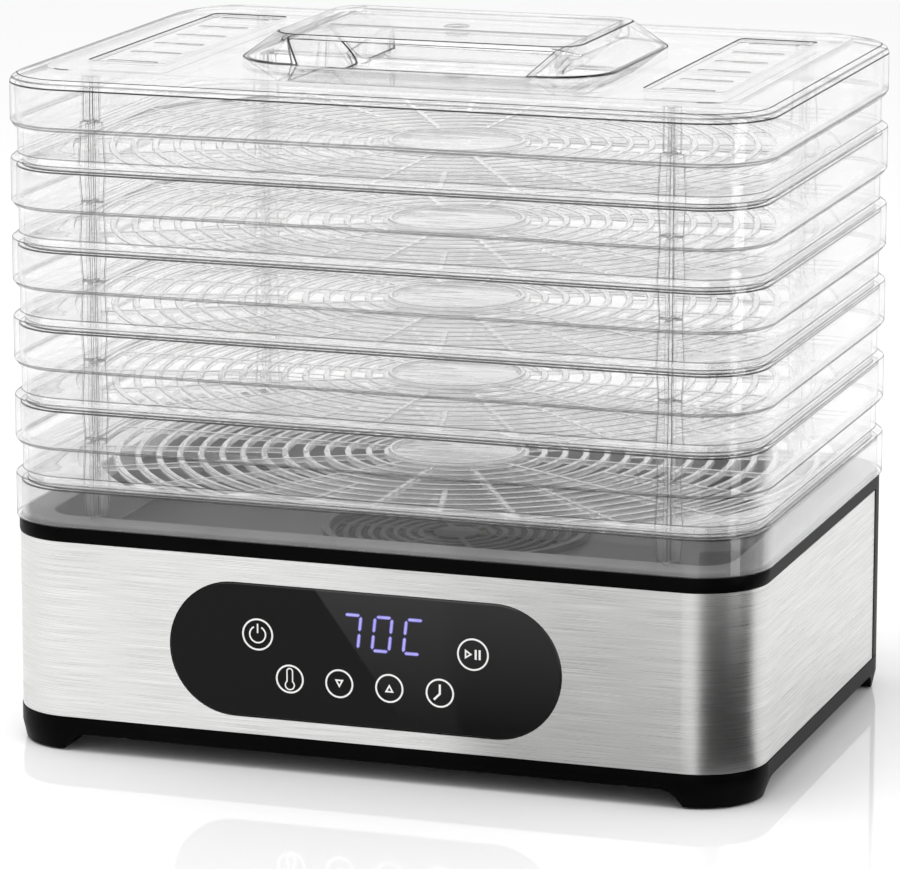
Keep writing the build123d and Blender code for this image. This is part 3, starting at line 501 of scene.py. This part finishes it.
def combined(first, second, operation):
    holders = [bpy.data.objects.new("solid", mesh) for mesh in (first, second)]
    for holder in holders:
        scene.collection.objects.link(holder)
    cut = holders[0].modifiers.new("combined", "BOOLEAN")
    cut.object = holders[1]
    cut.operation = operation
    cut.solver = "EXACT"
    bpy.context.view_layer.update()
    evaluated = holders[0].evaluated_get(bpy.context.evaluated_depsgraph_get())
    mesh = bpy.data.meshes.new_from_object(evaluated)
    for holder in holders:
        bpy.data.objects.remove(holder)
    return mesh


def merged(mesh, reach):
    # joins points closer than reach, which a cut leaves at its corners
    form = bmesh.new()
    form.from_mesh(mesh)
    bmesh.ops.remove_doubles(form, verts=form.verts, dist=reach * mm)
    bmesh.ops.delete(form, geom=[edge for edge in form.edges if edge.is_wire], context="EDGES")
    form.to_mesh(mesh)
    form.free()
    return mesh


def area(polygon):
    return abs(sum(p[0] * q[1] - q[0] * p[1] for p, q in zip(polygon, polygon[1:] + polygon[:1]))) / 2


# trays

tray = {
    "width": 330.0, "depth": 236.0, "corner": 30.0,
    "skirt": 18.4, "shoulder": 2.4, "inset": 3.0, "wall": 2.2, "flare": 2.7, "flareInset": 0.4,
    "rim": 33.3, "lip": 2.8, "lipInset": 2.7, "lipWall": 1.5,
    "floor": 15.6, "floorThickness": 2.0, "embed": 0.3, "round": 0.6,
    "drawn": (2, 2, 2, 0, 2, 0, 0, 0, 0, 0, 1, 1, 0), "posts": (125.0, 102.0),
}
trayFloor = {
    "hub": 29.5, "firstRing": 31.5, "firstSlot": 5.0, "ringPitch": 9.0, "slot": 6.2, "rib": 2.6,
    "innerSectors": 12, "outerSectors": 24, "split": 74.0, "margin": 9.0,
    "pad": 8.5, "least": 26.0, "edge": 0.22, "hubRim": 1.2, "hubRimWall": 2.0,
}


def traySection():
    t = tray
    inner = t["inset"] + t["wall"]
    flareStart = t["rim"] - t["flare"]
    lipIn = t["lipInset"] + t["lipWall"]
    return softened([
        (0, 0), (0, t["skirt"]), (t["inset"], t["skirt"] + t["shoulder"]), (t["inset"], flareStart),
        (t["flareInset"], t["rim"]), (t["lipInset"], t["rim"]), (t["lipInset"], t["rim"] + t["lip"]),
        (lipIn, t["rim"] + t["lip"]), (lipIn, t["rim"]), (inner, flareStart), (inner, t["floor"]),
        (t["wall"], t["floor"]), (t["wall"], 0)], t["round"])


def ringSlot(near, far, angle, halfRib, sectors):
    # one arc-shaped slot between two ribs
    points = []
    for radius, order in ((near, 1), (far, -1)):
        half = math.pi / sectors - halfRib / radius
        count = max(3, int(half * radius / 4))
        steps = [angle + half * (2 * k / count - 1) * order for k in range(count + 1)]
        points += [(radius * math.cos(a), radius * math.sin(a)) for a in steps]
    return points[::-1]


def onPostPad(points):
    postX, postY = tray["posts"]
    pad = trayFloor["pad"]
    return any(abs(abs(x) - postX) < pad and abs(abs(y) - postY) < pad for x, y in points)


def floorSlots():
    f = trayFloor
    margin = 2 * f["margin"]
    field = roundedOutline(tray["width"] - margin, tray["depth"] - margin, tray["corner"] - f["margin"])
    slots = []
    near = f["firstRing"]
    width = f["firstSlot"]
    while near < tray["width"] / 2:
        sectors = f["innerSectors"] if near < f["split"] else f["outerSectors"]
        for k in range(sectors):
            angle = 2 * math.pi * (k + 0.5) / sectors
            slot = clipped(ringSlot(near, near + width, angle, f["rib"] / 2, sectors), field)
            if len(slot) > 2 and area(slot) > f["least"] and not onPostPad(slot):
                slots.append(slot)
        near += width + f["ringPitch"] - f["slot"]
        width = f["slot"]
    return slots


def circle(radius, steps=48, centre=(0, 0)):
    return [(centre[0] + radius * math.cos(2 * math.pi * k / steps),
             centre[1] + radius * math.sin(2 * math.pi * k / steps)) for k in range(steps)]


def makeTrays():
    t, f = tray, trayFloor
    wall = ringMesh(traySection(), t["width"], t["depth"], t["corner"], t["drawn"])
    inset = t["inset"] + t["wall"] - t["embed"]
    outline = roundedOutline(
        t["width"] - 2 * inset, t["depth"] - 2 * inset, t["corner"] - inset, steps=14)
    top = t["floor"] + t["floorThickness"]
    floor = plateMesh([outline] + floorSlots(), t["floor"], top, f["edge"], paintedSoftLine)
    hubRing = [circle(f["hub"]), circle(f["hub"] - f["hubRimWall"])]
    hub = plateMesh(hubRing, top, top + f["hubRim"], f["edge"], paintedSoftLine)
    for number in range(1, 6):
        lift = Matrix.Translation((0, 0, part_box(f"tray_{number}_frame")[0].z))
        body = f"tray_{number}"
        for part, mesh, replaced, finish in (
                ("wall", wall, "frame", "clear"), ("floor", floor, "grid", "clearRibs"),
                ("hub_ring", hub, None, "clearRibs")):
            own = mesh.copy()
            own.transform(lift)
            names = [f"tray_{number}_{replaced}"] if replaced else []
            pieceFrom(f"tray_{number}_{part}", own, body, finish, "clear_plastic", *names)
    print("trays built,", len(floor.polygons), "faces in a floor")


makeTrays()


# posts: two crossed blades, drawn in below the floor and towards the top

posts = {
    "blade": 0.9, "outline": ((5.0, 2.0), (6.0, 15.6), (6.0, 17.6), (5.0, 35.3)),  # half widths and heights
    "stub": 3.85, "stubLow": 2.0, "edge": 0.2,
}


def crossOutline(half, blade, centre, level):
    quarter = [(half, -blade), (half, blade), (blade, blade)]
    points = []
    for _ in range(4):
        points += [(centre[0] + x, centre[1] + y, level) for x, y in quarter]
        quarter = [(-y, x) for x, y in quarter]
    return points


def postMesh(outline, low):
    whole = bmesh.new()
    for sx in (-1, 1):
        for sy in (-1, 1):
            centre = (sx * tray["posts"][0], sy * tray["posts"][1])
            crosses = [crossOutline(half, posts["blade"], centre, low + level) for half, level in outline]
            whole.from_mesh(loftMesh(crosses))
    mesh = bpy.data.meshes.new("posts")
    whole.to_mesh(mesh)
    whole.free()
    return mesh


def makePosts():
    p = posts
    for number in range(1, 6):
        mesh = postMesh(p["outline"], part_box(f"tray_{number}_frame")[0].z / mm)
        body = f"tray_{number}"
        post = pieceFrom(f"{body}_cross_posts", mesh, body, "clear", "clear_plastic", f"{body}_posts")
        roundEdges(post, p["edge"], False)
    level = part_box("lid")[0].z / mm
    stub = ((p["stub"], p["stubLow"]), (p["stub"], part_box("lid_posts")[1].z / mm - level))
    post = pieceFrom("lid_cross_posts", postMesh(stub, level), "lid", "clear", "clear_plastic", "lid_posts")
    roundEdges(post, p["edge"], False)
    print("posts built")


# lid

lid = {
    "side": 16.8, "edgeInset": 0.9, "edgeRise": 2.0, "shoulderInset": 3.2, "shoulder": 20.3,
    "topInset": 16.0, "top": 23.0, "wall": 2.2, "round": 1.6, "embed": 0.3, "edge": 0.4,
    "handle": (164.0, 120.0, 26.0), "vent": (34.0, 148.0, 2.5), "ventX": 121.0, "ventSpan": (100, 142),
    "recess": 1.0, "ventPlate": 2.0, "ventEdge": 0.15,
    "gate": 5.4, "gateWall": 1.0, "gateDot": 3.0, "gateDepth": 0.8, "gateInset": 0.1,
    "slots": 6, "slotPitch": 26.4, "slot": (22.5, 4.0, 1.9), "drawn": (2, 1, 2, 1, 0, 0, 0, 0, 0),
}


def makeLid():
    d, t = lid, tray
    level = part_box("lid")[0].z / mm
    section = softened([
        (0, 0), (0, d["side"]), (d["edgeInset"], d["side"] + d["edgeRise"]),
        (d["shoulderInset"], d["shoulder"]), (d["topInset"], d["top"]), (d["topInset"], d["top"] - d["wall"]),
        (d["shoulderInset"] + d["edgeInset"], d["shoulder"] - d["wall"]),
        (d["wall"], d["side"] - d["edgeInset"]), (d["wall"], 0)], d["round"])
    section = [(inset, level + height) for inset, height in section]
    rim = ringMesh(section, t["width"], t["depth"], t["corner"], d["drawn"])
    inset = d["topInset"] - d["embed"]
    outlines = [roundedOutline(
        t["width"] - 2 * inset, t["depth"] - 2 * inset, t["corner"] - inset, steps=12)]
    width, depth, corner = d["handle"]
    outlines.append(roundedOutline(width - d["embed"], depth - d["embed"], corner, steps=12))
    width, depth, corner = d["vent"]
    for side in (-1, 1):
        outlines.append(roundedOutline(width, depth, corner, steps=5, centre=(side * d["ventX"], 0)))
    top = level + d["top"]
    plate = plateMesh(outlines, top - d["wall"], top, d["edge"], paintedDarkLine, d["ventSpan"])
    panels = []
    for side in (-1, 1):
        centre = (side * d["ventX"], 0)
        panels.append(roundedOutline(
            width + d["embed"], depth + d["embed"], corner, steps=5, centre=centre))
        for row in range(d["slots"]):
            y = (row - (d["slots"] - 1) / 2) * d["slotPitch"]
            panels.append(roundedOutline(*d["slot"], steps=6, centre=(centre[0], y)))
    ventTop = top - d["recess"]
    vents = plateMesh(panels, ventTop - d["ventPlate"], ventTop, d["ventEdge"], paintedDarkLine)
    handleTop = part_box("lid_handle")[1].z / mm - d["gateInset"]
    rings = [circle(d["gate"]), circle(d["gate"] - d["gateWall"]), circle(d["gateDot"])]
    gate = plateMesh(rings, handleTop - d["gateDepth"], handleTop, d["edge"] / 2, paintedDarkLine)
    keepFlat(pieceFrom("lid_gate_mark", gate, "lid", "clear", "clear_plastic"))
    pieceFrom("lid_rim", rim, "lid", "clear", "clear_plastic", "lid")
    keepFlat(pieceFrom("lid_top_plate", plate, "lid", "clearTop", "clear_plastic"))
    keepFlat(pieceFrom("lid_vent_panels", vents, "lid", "clearTop", "clear_plastic", "lid_vents"))
    print("lid built")


makeLid()


# handle: a hollow hip with a finger scoop under its front and its back

handle = {
    "base": (164.0, 120.0, 26.0), "top": (134.0, 92.0, 12.0), "rise": 10.8, "foot": 0.4, "wall": 2.0,
    "scoopTop": 60.0, "scoopFloor": 43.0, "scoopDepth": 7.0, "scoopSlope": 18.0, "fillet": 6.0, "web": 1.2,
    "lipDrop": 0.05, "sunk": 1.0, "clear": 1.0, "edge": 0.55, "merge": 0.05,
}


def hipMesh(inset, foot, high, level):
    h = handle
    rings = []
    for (width, depth, corner), height in ((h["base"], foot), (h["base"], level), (h["top"], high)):
        outline = roundedOutline(width - 2 * inset, depth - 2 * inset, corner - inset, steps=8)
        rings.append([(x, y, height) for x, y in outline])
    return loftMesh(rings)


def scoopMesh(grow, roof, level, side):
    # the front (1) or back (-1) scoop, grown by a wall, with both ends leaning in towards its floor
    h = handle
    floor = level - h["scoopDepth"] - grow
    front = -h["base"][1] / 2
    web = -h["web"] + grow
    lip = level - h["lipDrop"] - grow
    bend = h["fillet"] + grow
    turn = [math.radians(15 * k) for k in range(7)]
    profile = [(web, roof)]
    profile += [(web - bend + bend * math.cos(a), floor + bend - bend * math.sin(a)) for a in turn]
    profile += [(front + h["scoopSlope"], floor), (front, lip), (front - h["scoopSlope"], lip)]
    profile.append((front - h["scoopSlope"], roof))
    rings = []
    for end in (-1, 1):
        ring = []
        for y, z in profile:
            lean = (z - floor) / (level + h["rise"] - floor)
            half = h["scoopFloor"] + (h["scoopTop"] - h["scoopFloor"]) * lean + grow
            ring.append((end * half * side, y * side, z))
        rings.append(ring)
    return loftMesh(rings)


def makeHandle():
    h = handle
    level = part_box("lid")[0].z / mm + lid["top"]
    top = level + h["rise"]
    roof = top - h["wall"]
    shell = hipMesh(0, level - h["foot"], top, level)
    shell = combined(shell, hipMesh(h["wall"], level - h["foot"] - h["clear"], roof, level), "DIFFERENCE")
    low = level - h["scoopDepth"] - 2 * h["wall"]
    for side in (1, -1):
        bound = hipMesh(0, low, top, level)
        pocket = combined(scoopMesh(h["wall"], roof + h["sunk"], level, side), bound, "INTERSECT")
        shell = combined(shell, pocket, "UNION")
    for side in (1, -1):
        shell = combined(shell, scoopMesh(0, roof, level, side), "DIFFERENCE")
    shell = merged(shell, h["merge"])
    hip = pieceFrom("lid_hip_handle", shell, "lid", "clear", "clear_plastic", "lid_handle")
    roundEdges(hip, h["edge"], False)
    print("handle built,", len(shell.polygons), "faces")


# rounded edges on the CAD pieces that show

edgeRounds = {
    "base_frame": 0.7, "bottom_cover": 0.8, "top_deck": 0.8, "control_lens": 0.5,
    "cord_gland": 0.4, "foot_pads": 0.4, "outlet_grille": 0.4,
}
edgeTurn = 34  # degrees
edgeWeld = 0.01


def roundEdges(piece, radius, clamped=True):
    # rounds the edges that turn sharply, with a painted dark line along them on clear pieces
    weld = piece.modifiers.new("weld", "WELD")
    weld.merge_threshold = edgeWeld * mm
    bevel = piece.modifiers.new("bevel", "BEVEL")
    bevel.width = radius * mm
    bevel.segments = 3
    bevel.limit_method = "ANGLE"
    bevel.angle_limit = math.radians(edgeTurn)
    bevel.harden_normals = True
    bevel.use_clamp_overlap = clamped
    # painted shade: the bevel faces of clear pieces take the dark line
    if len(piece.data.materials) > 1:
        bevel.material = paintedDarkLine


for name, radius in edgeRounds.items():
    roundEdges(nodes[name], radius)
print("edges rounded on", len(edgeRounds), "nodes")
makePosts()
makeHandle()


# printed signs and lit digits on the panel

signs = {
    "power": (-46.4, 7.2), "start": (47.7, 6.6), "heat": (-32.3, -10.7), "less": (-10.5, -10.8),
    "more": (11.4, -10.9), "time": (33.4, -11.0),
    "largeRing": 6.85, "smallRing": 6.15, "ringLine": 0.75, "line": 0.65, "boldLine": 0.9, "thick": 0.05,
    "powerArc": (3.5, 118, 422), "powerBar": ((0, 0.6), (0, 4.6)),
    "playTriangle": (4.2, 3.2), "playShift": -1.9, "pauseBars": (1.2, 2.9), "pauseHalf": 2.1,
    "keyTriangle": (3.9, 3.5), "hands": ((0, 3.7), (0, -0.3), (-2.6, -2.9)),
    "bulb": 2.0, "stem": 1.25, "stemEnds": (-2.6, 3.3), "heatGrow": (0.25, -0.3),
}
digits = {
    "text": "70C", "place": (8.3, 11.8), "width": 9.0, "height": 16.0, "advance": 13.6,
    "bar": 1.6, "gap": 0.35, "slant": 6.0, "thick": 0.05, "dimEdge": 0.3,
}


def strokeOutline(points, width):
    # one closed outline round an open run of points
    left, right = [], []
    for i, point in enumerate(points):
        here = Vector(point)
        into = (here - Vector(points[i - 1])).normalized() if i else None
        out = (Vector(points[i + 1]) - here).normalized() if i + 1 < len(points) else None
        along = ((into or out) + (out or into)).normalized()
        side = Vector((-along.y, along.x))
        reach = width / 2 / max(0.4, abs(along.dot(out or into)))
        left.append(tuple(here + side * reach))
        right.append(tuple(here - side * reach))
    return left + right[::-1]


def arc(radius, start, end, steps=40):
    return [(radius * math.cos(math.radians(start + (end - start) * k / steps)),
             radius * math.sin(math.radians(start + (end - start) * k / steps))) for k in range(steps + 1)]


def moved(outline, place):
    return [(x + place[0], y + place[1]) for x, y in outline]


def triangleBand(width, height, line, point):
    # an outlined triangle that points up (1) or down (-1)
    half = width / 2
    side = math.hypot(half, height)
    inner = 1 - line * (width + 2 * side) / (width * height)
    centre = height / 2 - height * width / (width + 2 * side)
    outer = [(-half, -height / 2), (half, -height / 2), (0, height / 2)]
    inside = [(x * inner, (y + centre) * inner - centre) for x, y in outer]
    return [[(x, y * point) for x, y in outline] for outline in (outer, inside)]


def thermometer(grow):
    bulb = signs["bulb"] + grow
    stem = signs["stem"] + grow
    low, high = signs["stemEnds"]
    lean = math.degrees(math.asin(stem / bulb))
    bowl = moved(arc(bulb, 90 + lean, 450 - lean, 24), (0, low))
    cap = moved(arc(stem, 0, 180, 12), (0, high))
    return bowl + cap


def signOutlines():
    s = signs
    outlines = []
    for name in ("power", "start", "heat", "less", "more", "time"):
        radius = s["largeRing"] if name in ("power", "start") else s["smallRing"]
        art = [circle(radius), circle(radius - s["ringLine"])]
        if name == "power":
            art.append(strokeOutline(arc(*s["powerArc"]), s["line"]))
            art.append(strokeOutline(s["powerBar"], s["line"]))
        if name == "start":
            for outline in triangleBand(*s["playTriangle"], s["line"], 1):
                art.append(moved([(y, x) for x, y in outline], (s["playShift"], 0)))
            for x in s["pauseBars"]:
                art.append(strokeOutline([(x, -s["pauseHalf"]), (x, s["pauseHalf"])], s["boldLine"]))
        if name == "heat":
            art += [thermometer(grow) for grow in s["heatGrow"]]
        if name == "less":
            art += triangleBand(*s["keyTriangle"], s["line"], -1)
        if name == "more":
            art += triangleBand(*s["keyTriangle"], s["line"], 1)
        if name == "time":
            art.append(strokeOutline(s["hands"], s["boldLine"]))
        outlines += [moved(outline, s[name]) for outline in art]
    return outlines


def segment(start, end, bar, gap):
    # one bar of a digit with pointed ends
    a, b = Vector(start), Vector(end)
    along = (b - a).normalized()
    side = Vector((-along.y, along.x)) * bar / 2
    a, b = a + along * gap, b - along * gap
    tip = along * bar / 2
    return [tuple(p) for p in (a, a + tip + side, b - tip + side, b, b - tip - side, a + tip - side)]


def digitOutlines(inset):
    d = digits
    halfX, halfY = (d["width"] - d["bar"]) / 2, (d["height"] - d["bar"]) / 2
    ends = {
        "a": ((-halfX, halfY), (halfX, halfY)), "b": ((halfX, halfY), (halfX, 0)),
        "c": ((halfX, 0), (halfX, -halfY)), "d": ((-halfX, -halfY), (halfX, -halfY)),
        "e": ((-halfX, 0), (-halfX, -halfY)), "f": ((-halfX, halfY), (-halfX, 0)),
    }
    shown = {"7": "abc", "0": "abcdef", "C": "adef"}
    slant = math.tan(math.radians(d["slant"]))
    outlines = []
    for i, character in enumerate(d["text"]):
        shift = (i - (len(d["text"]) - 1) / 2) * d["advance"]
        for key in shown[character]:
            bar = segment(*ends[key], d["bar"] - 2 * inset, d["gap"] + inset)
            outlines.append(moved([(x + y * slant + shift, y) for x, y in bar], d["place"]))
    return outlines


def makePanelMarks():
    low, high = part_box("control_lens")
    onFace = Matrix.Translation(((low.x + high.x) / 2, low.y, (low.z + high.z) / 2))
    upright = onFace @ Matrix.Rotation(math.radians(90), 4, "X")
    for name, outlines, thick, finish, slot in (
            ("panel_signs", signOutlines(), signs["thick"], "print", "panel_lens"),
            ("panel_digit_edges", digitOutlines(0), digits["thick"] / 2, "ledEdge", "display_glass"),
            ("panel_digits", digitOutlines(digits["dimEdge"]), digits["thick"], "led", "display_glass")):
        mesh = plateMesh(outlines, -thick, thick, 0.0)
        mesh.transform(upright)
        pieceFrom(name, mesh, "base", finish, slot)
    print("panel marks built")


makePanelMarks()


# floor, light and camera

studio = {
    "floorHex": "#ebebeb", "floorSize": 14.0, "floorRough": 0.05, "floorIor": 1.45,
    "backStrength": 1.0, "sideStrength": 0.8, "frontStrength": 0.92,
    "azimuth": 18.717, "elevation": 12.554, "distance": 2268.5, "lens": 211.2, "sensor": 36.0,
    "aimLeft": 2.95, "aimHeight": 122.0,
    "flagAzimuth": 58.0, "flagSpread": 46.0, "flagNear": 62.0, "flagFar": 480.0, "flagCentre": (135.0, -88.0),
    "greyCard": ((-150, -640), (10, -640), (150, -125), (40, -125)), "greyCover": 0.5,
    "flagHex": "#050505", "flagHeight": 0.001, "flagSector": (0.68, 0.88), "flagTone": 0.02,
    "overhead": (0.35, 0.75), "frontEnd": 0.44, "sides": (0.52, 0.72), "backStart": 0.82,
    "lampAim": (0, 0, 0.12), "lamps": (
        ("top softbox", (-0.5, -0.4, 1.9), (1.8, 1.4), 22),
        ("right softbox", (1.5, -0.5, 0.7), (0.5, 1.4), 8)),
}


def makeFloor():
    s = studio
    ground = bpy.data.meshes.new("floor")
    half = s["floorSize"] / 2
    corners = [(-half, -half, 0), (half, -half, 0), (half, half, 0), (-half, half, 0)]
    ground.from_pydata(corners, [], [(0, 1, 2, 3)])
    floor = bpy.data.objects.new("floor", ground)
    scene.collection.objects.link(floor)
    material, tree, output = newMaterial("pale floor")
    bsdf = addNode(
        tree, "ShaderNodeBsdfPrincipled",
        {"Base Color": linear(s["floorHex"]), "Roughness": s["floorRough"], "IOR": s["floorIor"],
         "Specular IOR Level": 0.5})
    tree.links.new(bsdf.outputs["BSDF"], output.inputs["Surface"])
    ground.materials.append(material)


def makeLight():
    # white behind the part and overhead, slightly greyer at both sides, so that the clear edges show;
    # gloss also meets a dark sector to the front right, for the band on the steel's corner
    s = studio
    world = bpy.data.worlds.new("studio")
    scene.world = world
    world.use_nodes = True
    tree = world.node_tree
    tree.nodes.clear()
    azimuth = math.radians(s["azimuth"])
    coords = addNode(tree, "ShaderNodeTexCoord")
    ahead = (-math.sin(azimuth), math.cos(azimuth), 0)
    facing = addNode(tree, "ShaderNodeVectorMath", {"operation": "DOT_PRODUCT", 1: ahead}, {
        0: coords.outputs["Generated"]})
    ramp = addNode(tree, "ShaderNodeValToRGB", links={"Fac": addNode(
        tree, "ShaderNodeMapRange", {"From Min": -1.0, "From Max": 1.0}, {"Value": facing.outputs["Value"]}
    ).outputs["Result"]})
    stops = ramp.color_ramp.elements
    stops[0].position, stops[0].color = 0.0, (s["frontStrength"],) * 3 + (1,)
    stops[1].position, stops[1].color = s["backStart"], (s["backStrength"],) * 3 + (1,)
    stops.new(s["frontEnd"]).color = (s["frontStrength"],) * 3 + (1,)
    for place in s["sides"]:
        stops.new(place).color = (s["sideStrength"],) * 3 + (1,)
    height = addNode(tree, "ShaderNodeSeparateXYZ", links={0: coords.outputs["Generated"]})
    overhead = addNode(
        tree, "ShaderNodeMapRange", {"From Min": s["overhead"][0], "From Max": s["overhead"][1]},
        {"Value": height.outputs["Z"]})
    seen = addNode(tree, "ShaderNodeLightPath")
    plain = addNode(tree, "ShaderNodeMath", {"operation": "MAXIMUM"}, {
        0: overhead.outputs["Result"], 1: seen.outputs["Is Camera Ray"]})
    tone = addNode(tree, "ShaderNodeMix", {"data_type": "RGBA", 7: (1, 1, 1, 1)}, {
        0: plain.outputs["Value"], 6: ramp.outputs["Color"]})
    level = addNode(tree, "ShaderNodeVectorMath", {"operation": "MULTIPLY", 1: (1, 1, 0)}, {
        0: coords.outputs["Generated"]})
    level = addNode(tree, "ShaderNodeVectorMath", {"operation": "NORMALIZE"}, {0: level.outputs["Vector"]})
    flagWay = math.radians(s["flagAzimuth"])
    flagSide = (math.sin(flagWay), -math.cos(flagWay), 0)
    toFlag = addNode(
        tree, "ShaderNodeVectorMath", {"operation": "DOT_PRODUCT", 1: flagSide}, {0: level.outputs["Vector"]})
    flagged = addNode(
        tree, "ShaderNodeMapRange", {"From Min": s["flagSector"][0], "From Max": s["flagSector"][1]},
        {"Value": toFlag.outputs["Value"]})
    shaded = addNode(tree, "ShaderNodeMath", {"operation": "MULTIPLY"}, {
        0: flagged.outputs["Result"], 1: seen.outputs["Is Glossy Ray"]})
    tone = addNode(tree, "ShaderNodeMix", {"data_type": "RGBA", 7: (s["flagTone"],) * 3 + (1,)}, {
        0: shaded.outputs["Value"], 6: tone.outputs[2]})
    background = addNode(tree, "ShaderNodeBackground", {"Strength": 1.0}, {"Color": tone.outputs[2]})
    addNode(tree, "ShaderNodeOutputWorld", links={"Surface": background.outputs["Background"]})
    for name, place, size, power in s["lamps"]:
        lamp = bpy.data.lights.new(name, "AREA")
        lamp.shape = "RECTANGLE"
        lamp.size, lamp.size_y = size
        lamp.energy = power
        box = bpy.data.objects.new(name, lamp)
        scene.collection.objects.link(box)
        box.location = place
        box.rotation_euler = (Vector(s["lampAim"]) - Vector(place)).to_track_quat("-Z", "Y").to_euler()


def makeFlag(name, ring, cover):
    # a dark card on the floor, seen from above and in gloss only, so that the steel has something to mirror
    card = bpy.data.meshes.new(name)
    height = studio["flagHeight"]
    card.from_pydata([(x * mm, y * mm, height) for x, y in ring], [], [tuple(range(len(ring)))])
    material, tree, output = newMaterial(name)
    black = addNode(tree, "ShaderNodeBsdfDiffuse", {"Color": linear(studio["flagHex"])})
    through = addNode(tree, "ShaderNodeBsdfTransparent")
    side = addNode(tree, "ShaderNodeNewGeometry")
    front = addNode(tree, "ShaderNodeMixShader", {0: cover}, {
        1: through.outputs["BSDF"], 2: black.outputs["BSDF"]})
    mixed = addNode(tree, "ShaderNodeMixShader", links={
        0: side.outputs["Backfacing"], 1: front.outputs["Shader"], 2: through.outputs["BSDF"]})
    tree.links.new(mixed.outputs["Shader"], output.inputs["Surface"])
    card.materials.append(material)
    flag = bpy.data.objects.new(name, card)
    scene.collection.objects.link(flag)
    flag.visible_camera = flag.visible_diffuse = flag.visible_transmission = flag.visible_shadow = False


def makeFlags():
    # black before the right corner for the dark band there, and grey before the right half of the front
    s = studio
    ring = []
    for reach, way in ((s["flagNear"], -1), (s["flagFar"], 1)):
        for k in range(7):
            angle = math.radians(s["flagAzimuth"] + s["flagSpread"] * (k / 3 - 1) * way)
            ring.append((
                s["flagCentre"][0] + reach * math.sin(angle), s["flagCentre"][1] - reach * math.cos(angle)))
    makeFlag("black flag", ring, 1.0)
    makeFlag("grey flag", s["greyCard"], s["greyCover"])


def makeCamera():
    s = studio
    azimuth = math.radians(s["azimuth"])
    elevation = math.radians(s["elevation"])
    level = math.cos(elevation)
    back = Vector((math.sin(azimuth) * level, -math.cos(azimuth) * level, math.sin(elevation)))
    right = Vector((math.cos(azimuth), math.sin(azimuth), 0))
    aim = right * -s["aimLeft"] * mm + Vector((0, 0, s["aimHeight"] * mm))
    optics = bpy.data.cameras.new("camera")
    optics.lens = s["lens"]
    optics.sensor_width = s["sensor"]
    optics.clip_end = 100
    camera = bpy.data.objects.new("camera", optics)
    scene.collection.objects.link(camera)
    camera.location = aim + back * s["distance"] * mm
    camera.rotation_euler = (-back).to_track_quat("-Z", "Y").to_euler()
    scene.camera = camera


makeFloor()
makeLight()
makeFlags()
makeCamera()
scene.view_settings.view_transform = "Standard"
scene.cycles.max_bounces = 24
scene.cycles.transmission_bounces = 16
scene.cycles.glossy_bounces = 12
scene.cycles.transparent_max_bounces = 128
